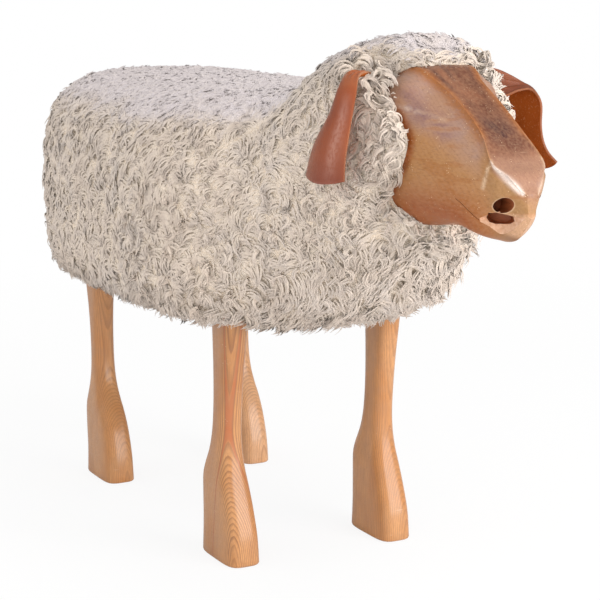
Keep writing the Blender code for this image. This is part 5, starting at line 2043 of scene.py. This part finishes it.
@dataclass
class Legs:
    """Four carved pine legs with hooves, each with a tenon and a pilot hole on top.

    Each row is a ring's height, its back, its front, its half width and its squareness.
    """

    track: float = 0.180
    wheelbase: float = 0.3375
    centre_y: float = 0.146
    hoof: Rows = (
        (0.0000, 0.0385, -0.0390, 0.0178, 4.2), (0.0020, 0.0400, -0.0405, 0.0190, 4.2),
        (0.0300, 0.0388, -0.0372, 0.0185, 4.2),
    )
    front: Rows = (
        (0.0600, 0.0400, -0.0275, 0.0177, 4.0), (0.0820, 0.0415, -0.0190, 0.0168, 3.6),
        (0.0950, 0.0385, -0.0150, 0.0156, 3.2), (0.1130, 0.0300, -0.0115, 0.0142, 2.8),
        (0.1350, 0.0245, -0.0108, 0.0131, 2.6), (0.1650, 0.0220, -0.0135, 0.0127, 2.6),
        (0.2000, 0.0212, -0.0178, 0.0129, 2.8), (0.2350, 0.0212, -0.0230, 0.0138, 3.0),
        (BASE_BOTTOM - GAP, 0.0220, -0.0280, 0.0150, 3.0),
    )
    rear: Rows = (
        (0.0600, 0.0425, -0.0285, 0.0177, 4.0), (0.0820, 0.0445, -0.0175, 0.0168, 3.6),
        (0.0950, 0.0415, -0.0095, 0.0156, 3.2), (0.1130, 0.0350, -0.0005, 0.0142, 2.8),
        (0.1350, 0.0320, 0.0040, 0.0131, 2.6), (0.1650, 0.0330, 0.0050, 0.0127, 2.6),
        (0.2000, 0.0375, 0.0035, 0.0129, 2.8), (0.2350, 0.0450, -0.0010, 0.0138, 3.0),
        (BASE_BOTTOM - GAP, 0.0520, -0.0060, 0.0150, 3.0),
    )
    sides: int = 48
    rings_up: int = 46
    edge_level: float = 0.0007
    edge_spread: float = 0.0004
    sole_top: float = 0.002
    tenon_radius: float = 0.012
    tenon_top: float = 0.312
    tenon_front: float = -0.003
    tenon_rear: float = 0.023
    pilot_radius: float = 0.0043
    pilot_bottom: float = 0.270
    pilot_end: float = 0.33

    def centre(self, side: Side, end: End) -> Array:
        """Return the floor point under a leg's middle."""
        return np.array((side.value * self.track / 2, self.centre_y + end.value * self.wheelbase / 2, 0.0))

    def foot(self, side: Side, end: End) -> Array:
        """Return the floor point under a leg's tenon."""
        return self.centre(side, end) + (0.0, self.tenon_front if end is End.FRONT else self.tenon_rear, 0.0)

    def build(self, finishes: dict[tuple[Side, End], PineFinish]) -> None:
        """Carve all four legs, each in its own pine."""
        for (side, end), finish in finishes.items():
            self.add_leg(side, end, finish.material())

    def add_leg(self, side: Side, end: End, pine: Material) -> None:
        """Carve one leg.

        Args:
            side: The side it stands on.
            end: The end it stands at.
            pine: Its finish.
        """
        table = np.array(self.hoof + (self.front if end is End.FRONT else self.rear))
        fine = spline(table[1:], 12)
        top = BASE_BOTTOM - GAP
        rings = []
        for z in (0.0, self.edge_level, self.sole_top, *np.linspace(self.sole_top, top, self.rings_up)[1:]):
            source = table if z < self.sole_top else fine
            back, front, half_width, squareness = (
                np.interp(z, source[:, 0], column) for column in source[:, 1:].T)
            spread = self.edge_spread if z == self.edge_level else 0.0
            rings.append(self.ring(z, back + spread, front - spread, half_width + spread, squareness))
        centre, foot = self.centre(side, end), self.foot(side, end)
        angle = 2 * np.pi * (np.arange(self.sides) + 0.5) / self.sides
        tenon = self.tenon_radius * np.stack([np.cos(angle), np.sin(angle), np.zeros(self.sides)], axis=1)
        for z in (top, self.tenon_top):
            rings.append(foot - centre + tenon + (0.0, 0.0, z))
        piece = dress(wrap_grid(f"carved_leg_{end.word}_{side.word}", np.array(rings) + centre), pine)
        start, finish = (Vector(foot + (0.0, 0.0, z)) for z in (self.pilot_bottom, self.pilot_end))
        cut(piece, add_bore("pilot", start, finish, self.pilot_radius, 20))
        smooth(piece, 50.0)
        hand_over(piece, "pine", f"leg_{end.word}_{side.word}")

    def ring(self, z: float, back: float, front: float, half_width: float, squareness: float) -> Array:
        """Return one level ring of a leg about its own centre.

        Args:
            z: The ring's height.
            back: Its hindmost y.
            front: Its foremost y.
            half_width: Half its width.
            squareness: How square its corners are, 2 for an ellipse.

        Returns:
            Its points, evenly spaced.
        """
        angle = np.linspace(0.0, 2 * np.pi, 721)[:-1]
        x, y = (np.sign(wave) * np.abs(wave)**(2 / squareness) for wave in (np.cos(angle), np.sin(angle)))
        y = (back + front) / 2 + (back - front) / 2 * y
        loop = np.stack([half_width * x, y, np.full(len(x), z)], axis=1)
        return respaced(np.vstack([loop, loop[:1]]), self.sides + 1)[:-1]


# What the fleece hides


@dataclass
class Padding:
    """The foam pads between the carcass and the fleece."""

    nodes: tuple[str, ...] = ("rump_pad", "side_pad_right", "side_pad_left", "seat_pad", "chest_pad", "neck_pad")
    voxel: float = 0.005

    def build(self, foam: Material) -> None:
        """Shape each pad from its CAD solid, with soft edges.

        Args:
            foam: The pads' finish.
        """
        for node in self.nodes:
            take(bpy.data.objects[node])
            bpy.ops.object.duplicate(linked=False)
            piece = named(f"{node}_foam")
            bpy.ops.object.parent_clear(type="CLEAR_KEEP_TRANSFORM")
            settle(piece)
            piece.modifiers.clear()
            with edited(piece):
                bpy.ops.mesh.remove_doubles(threshold=0.00002)
            remesh = piece.modifiers.new("remesh", "REMESH")
            remesh.mode = "VOXEL"
            remesh.voxel_size = self.voxel
            soften = piece.modifiers.new("soften", "SMOOTH")
            soften.factor = 0.5
            soften.iterations = 3
            finish_modifiers(piece)
            smooth(dress(piece, foam))
            hand_over(piece, "foam", node)


@dataclass
class BellyCloth:
    """The lining cloth tacked under the base board, with openings for the legs."""

    half_width: float = 0.1085
    front: float = -0.0565
    back: float = 0.3725
    top: float = 0.2717
    thickness: float = 0.0012
    hole: tuple[float, float] = (0.0165, 0.034)
    cutter_height: float = 0.04
    columns: int = 44
    rows: int = 86

    def build(self, cloth: Material, legs: Legs) -> None:
        """Lay the cloth and cut it round the legs.

        Args:
            cloth: Its finish.
            legs: The legs that pass through it.
        """
        x = np.linspace(-self.half_width, self.half_width, self.columns)
        y = np.linspace(self.front, self.back, self.rows)
        grid = np.stack([*np.meshgrid(x, y), np.full((self.rows, self.columns), self.top)], axis=2)
        pucker = lumps(grid.reshape(-1, 3), 0.03, 4).reshape(self.rows, self.columns)
        grid[..., 2] -= 0.0003 + 0.0002 * pucker
        piece = wrap_grid("belly_cloth_sheet", grid, closed=False)
        add_wall(piece, self.thickness, -1.0)
        finish_modifiers(piece)
        dress(piece, cloth)
        for side in Side:
            for end in End:
                cut(piece, add_box("leg_opening", legs.foot(side, end) + (0.0, 0.0, self.top),
                                   (2 * self.hole[0], 2 * self.hole[1], self.cutter_height)))
        smooth(piece, 40.0)
        hand_over(piece, "cloth", "belly_cloth")


@dataclass(frozen=True)
class Carcass:
    """The CAD nodes that keep their own meshes, by the start of their names."""

    timber: tuple[str, ...] = ("leg_block_", "side_rail_", "front_bulkhead", "rear_bulkhead", "centre_rib",
                               "neck_post", "head_dowel_")
    boards: tuple[str, ...] = ("base_board", "seat_board")
    metal: tuple[str, ...] = ("leg_screw_", "neck_screw_", "belly_tack_")

    def build(self, timber: Material, boards: Material, metal: Material, nodes: Iterable[str]) -> None:
        """Give each kept node its finish.

        Args:
            timber: The finish of rails, blocks, post and dowels.
            boards: The plywood.
            metal: The finish of screws and tacks.
            nodes: The names of the CAD nodes.
        """
        for starts, finish in ((self.timber, timber), (self.boards, boards), (self.metal, metal)):
            for node in nodes:
                if node.startswith(starts):
                    for slot in bpy.data.objects[node].material_slots:
                        slot.material = finish
                    LOG.info("%s: finished as %s", node, finish.name)


# The stage


@dataclass(frozen=True)
class Lamp:
    """A square soft lamp."""

    name: str
    place: Point
    size: float
    power: float
    colour: Colour
    mirrored: bool = True


@dataclass
class Stage:
    """A pale floor, soft lamps, a plain world and the photograph's camera."""

    eye: Point = (-0.8370, -1.6010, 0.6017)
    back: Point = (-0.4568, -0.8700, 0.1859)
    lens: float = 105.0
    sensor: float = 36.0
    floor_size: float = 12.0
    floor_level: float = -0.0006
    lit_height: float = 0.3
    lamps: tuple[Lamp, ...] = (
        Lamp("key", (1.0, -2.15, 0.95), 1.6, 44.0, (1.0, 0.99, 0.975)),
        Lamp("window", (-2.15, 0.45, 1.5), 1.6, 4.0, (0.97, 0.985, 1.0)),
        Lamp("top", (0.48, -1.03, 2.27), 0.5, 5.0, WHITE),
        Lamp("fill", (-1.6, -2.0, 0.8), 1.6, 14.0, (1.0, 0.99, 0.98), mirrored=False))

    def build(self) -> None:
        """Set the stage."""
        self.add_floor()
        self.add_world()
        for lamp in self.lamps:
            self.add_lamp(lamp)
        self.add_camera()

    def add_floor(self) -> None:
        """Lay the floor, which is white to the camera and keeps the object's shadow."""
        deselect()
        bpy.ops.mesh.primitive_plane_add(size=self.floor_size, location=(0.0, 0.0, self.floor_level))
        floor = settle(named("floor"))
        made, w, shader = open_material("floor_white")
        seen = w.node("ShaderNodeLightPath").outputs["Is Camera Ray"]
        diffuse = w.fill(shader, {"Base Color": w.mix(seen, (0.85, 0.85, 0.85), WHITE),
                                  "Roughness": 0.9, "Specular IOR Level": 0.0})["BSDF"]
        glow = w.fill(w.node("ShaderNodeEmission"), {"Color": WHITE, "Strength": 1.0})["Emission"]
        mixed = w.node("ShaderNodeMixShader")
        away = w.vector("LENGTH", w.here())
        w.feed(mixed.inputs["Fac"], w.times(seen, w.span(away, 0.7, 2.0, 0.88, 1.0)))
        w.feed(mixed.inputs[1], diffuse)
        w.feed(mixed.inputs[2], glow)
        w.feed(w.tree.nodes["Material Output"].inputs["Surface"], mixed.outputs["Shader"])
        dress(floor, made)

    def add_world(self) -> None:
        """Light everything plainly, with white behind it."""
        world = bpy.data.worlds.new("studio")
        world.use_nodes = True
        bpy.context.scene.world = world
        w = Wiring(world.node_tree)
        ray = w.node("ShaderNodeLightPath").outputs
        lit = w.span(ray["Is Glossy Ray"], 0.0, 1.0, 0.72, 0.20)
        w.fill(world.node_tree.nodes["Background"], {
            "Color": WHITE, "Strength": w.span(ray["Is Camera Ray"], 0.0, 1.0, lit, 1.0)})

    def add_lamp(self, lamp: Lamp) -> None:
        """Add a soft lamp that faces the stool.

        Args:
            lamp: The lamp to add.
        """
        deselect()
        aim = Vector((0.0, 0.0, self.lit_height)) - Vector(lamp.place)
        turn = aim.to_track_quat("-Z", "Y").to_euler()
        bpy.ops.object.light_add(type="AREA", location=lamp.place, rotation=turn)
        made = bpy.context.object
        made.name = lamp.name
        made.data.size = lamp.size
        made.data.energy = lamp.power
        made.data.color = lamp.colour
        made.visible_glossy = lamp.mirrored

    def add_camera(self) -> None:
        """Stand the camera where the photograph was taken."""
        deselect()
        aim = -Vector(self.back)
        bpy.ops.object.camera_add(location=self.eye, rotation=aim.to_track_quat("-Z", "Y").to_euler())
        camera = bpy.context.object
        camera.data.lens = self.lens
        camera.data.sensor_width = self.sensor
        bpy.context.scene.camera = camera
        bpy.context.scene.view_settings.view_transform = "Standard"


def pine_finishes(legs: Legs) -> dict[tuple[Side, End], PineFinish]:
    """Return the pine of each leg, each cut from its own part of a trunk; the left rear leg's pine is a paler
    copy, a painted highlight.

    Args:
        legs: The legs, for their places.

    Returns:
        The finish of each leg, by side and end.
    """
    finishes = {}
    for side, end, offset, lean, seed, looks in (
            (Side.RIGHT, End.FRONT, (-0.021, -0.043, 0.0), (-0.07, 0.03, 0.0), 1.0,
             {"heart": (0.0458, 0.0474), "contrast": 0.74}),
            (Side.LEFT, End.FRONT, (0.016, -0.050, 0.0), (-0.02, -0.02, 0.0), 5.0, {}),
            (Side.RIGHT, End.REAR, (0.006, -0.048, 0.0), (0.02, -0.02, 0.0), 9.0, {}),
            # The left rear leg's paler pine is painted light: a lighter copy that stands in for a highlight.
            (Side.LEFT, End.REAR, (0.012, -0.052, 0.0), (0.0, 0.02, 0.0), 13.0,
             {"early": (0.72, 0.37, 0.17), "pale": (0.80, 0.45, 0.24)})):
        pith = tuple(map(float, legs.centre(side, end) + offset))
        finishes[side, end] = PineFinish(f"pine_{end.word}_{side.word}", pith, lean, seed=seed, **looks)
    return finishes


def ear_finishes() -> tuple[dict[Side, Material], Material, Material]:
    """Return the leather of each ear's outer side, of the inner sides and of the cut edges.

    Returns:
        The outer side by ear, the inner side and the edge.
    """
    right = LeatherFinish("ear_leather", (0.36, 0.076, 0.018), (0.46, 0.125, 0.036), (0.20, 0.034, 0.016),
                          roughness=0.36, grain=0.35, gloss=0.45)
    # The left ear's grain side is a darker copy of the right one's: painted shade.
    left = replace(right, name="ear_leather_dark", base=(0.20, 0.044, 0.014), worn=(0.30, 0.080, 0.026),
                   dark=(0.12, 0.024, 0.010))
    suede = LeatherFinish("ear_suede", (0.37, 0.080, 0.012), (0.50, 0.140, 0.032), (0.24, 0.046, 0.007),
                          roughness=0.85, grain=0.1, nap=1.0)
    edge = LeatherFinish("ear_edge", (0.27, 0.075, 0.026), (0.42, 0.19, 0.10), (0.16, 0.040, 0.015),
                         roughness=0.5, grain=0.2, nap=0.4)
    return {Side.RIGHT: right.material(), Side.LEFT: left.material()}, suede.material(), edge.material()


def main() -> None:
    """Build the dressed stool piece by piece."""
    logging.basicConfig(level=logging.INFO, format="%(message)s")
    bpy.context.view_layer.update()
    LOG.info("legs")
    legs = Legs()
    legs.build(pine_finishes(legs))
    LOG.info("head")
    Head().build(
        HeadFinish().material(),
        PlainWoodFinish("mouth_wood", (0.76, 0.47, 0.31), (0.62, 0.34, 0.20), (300.0, 300.0, 300.0)).material(),
        PlainWoodFinish("bored_wood", (0.33, 0.088, 0.026), (0.22, 0.055, 0.016), roughness=0.5).material())
    LOG.info("ears")
    Ears().build(*ear_finishes())
    LOG.info("fleece")
    Fleece().build(WoolFinish().material(), UnderwoolFinish().material())
    LOG.info("padding, lining and carcass")
    Padding().build(FoamFinish().material())
    BellyCloth().build(LiningFinish().material(), legs)
    Carcass().build(
        PlainWoodFinish("sawn_pine", (0.74, 0.52, 0.30), (0.55, 0.33, 0.16)).material(),
        PlainWoodFinish("plywood", (0.70, 0.50, 0.30), (0.46, 0.28, 0.14), (300.0, 14.0, 300.0),
                        plies=0.0012).material(),
        SteelFinish().material(), frame["nodes"])
    Stage().build()


if __name__ == "__main__":
    main()
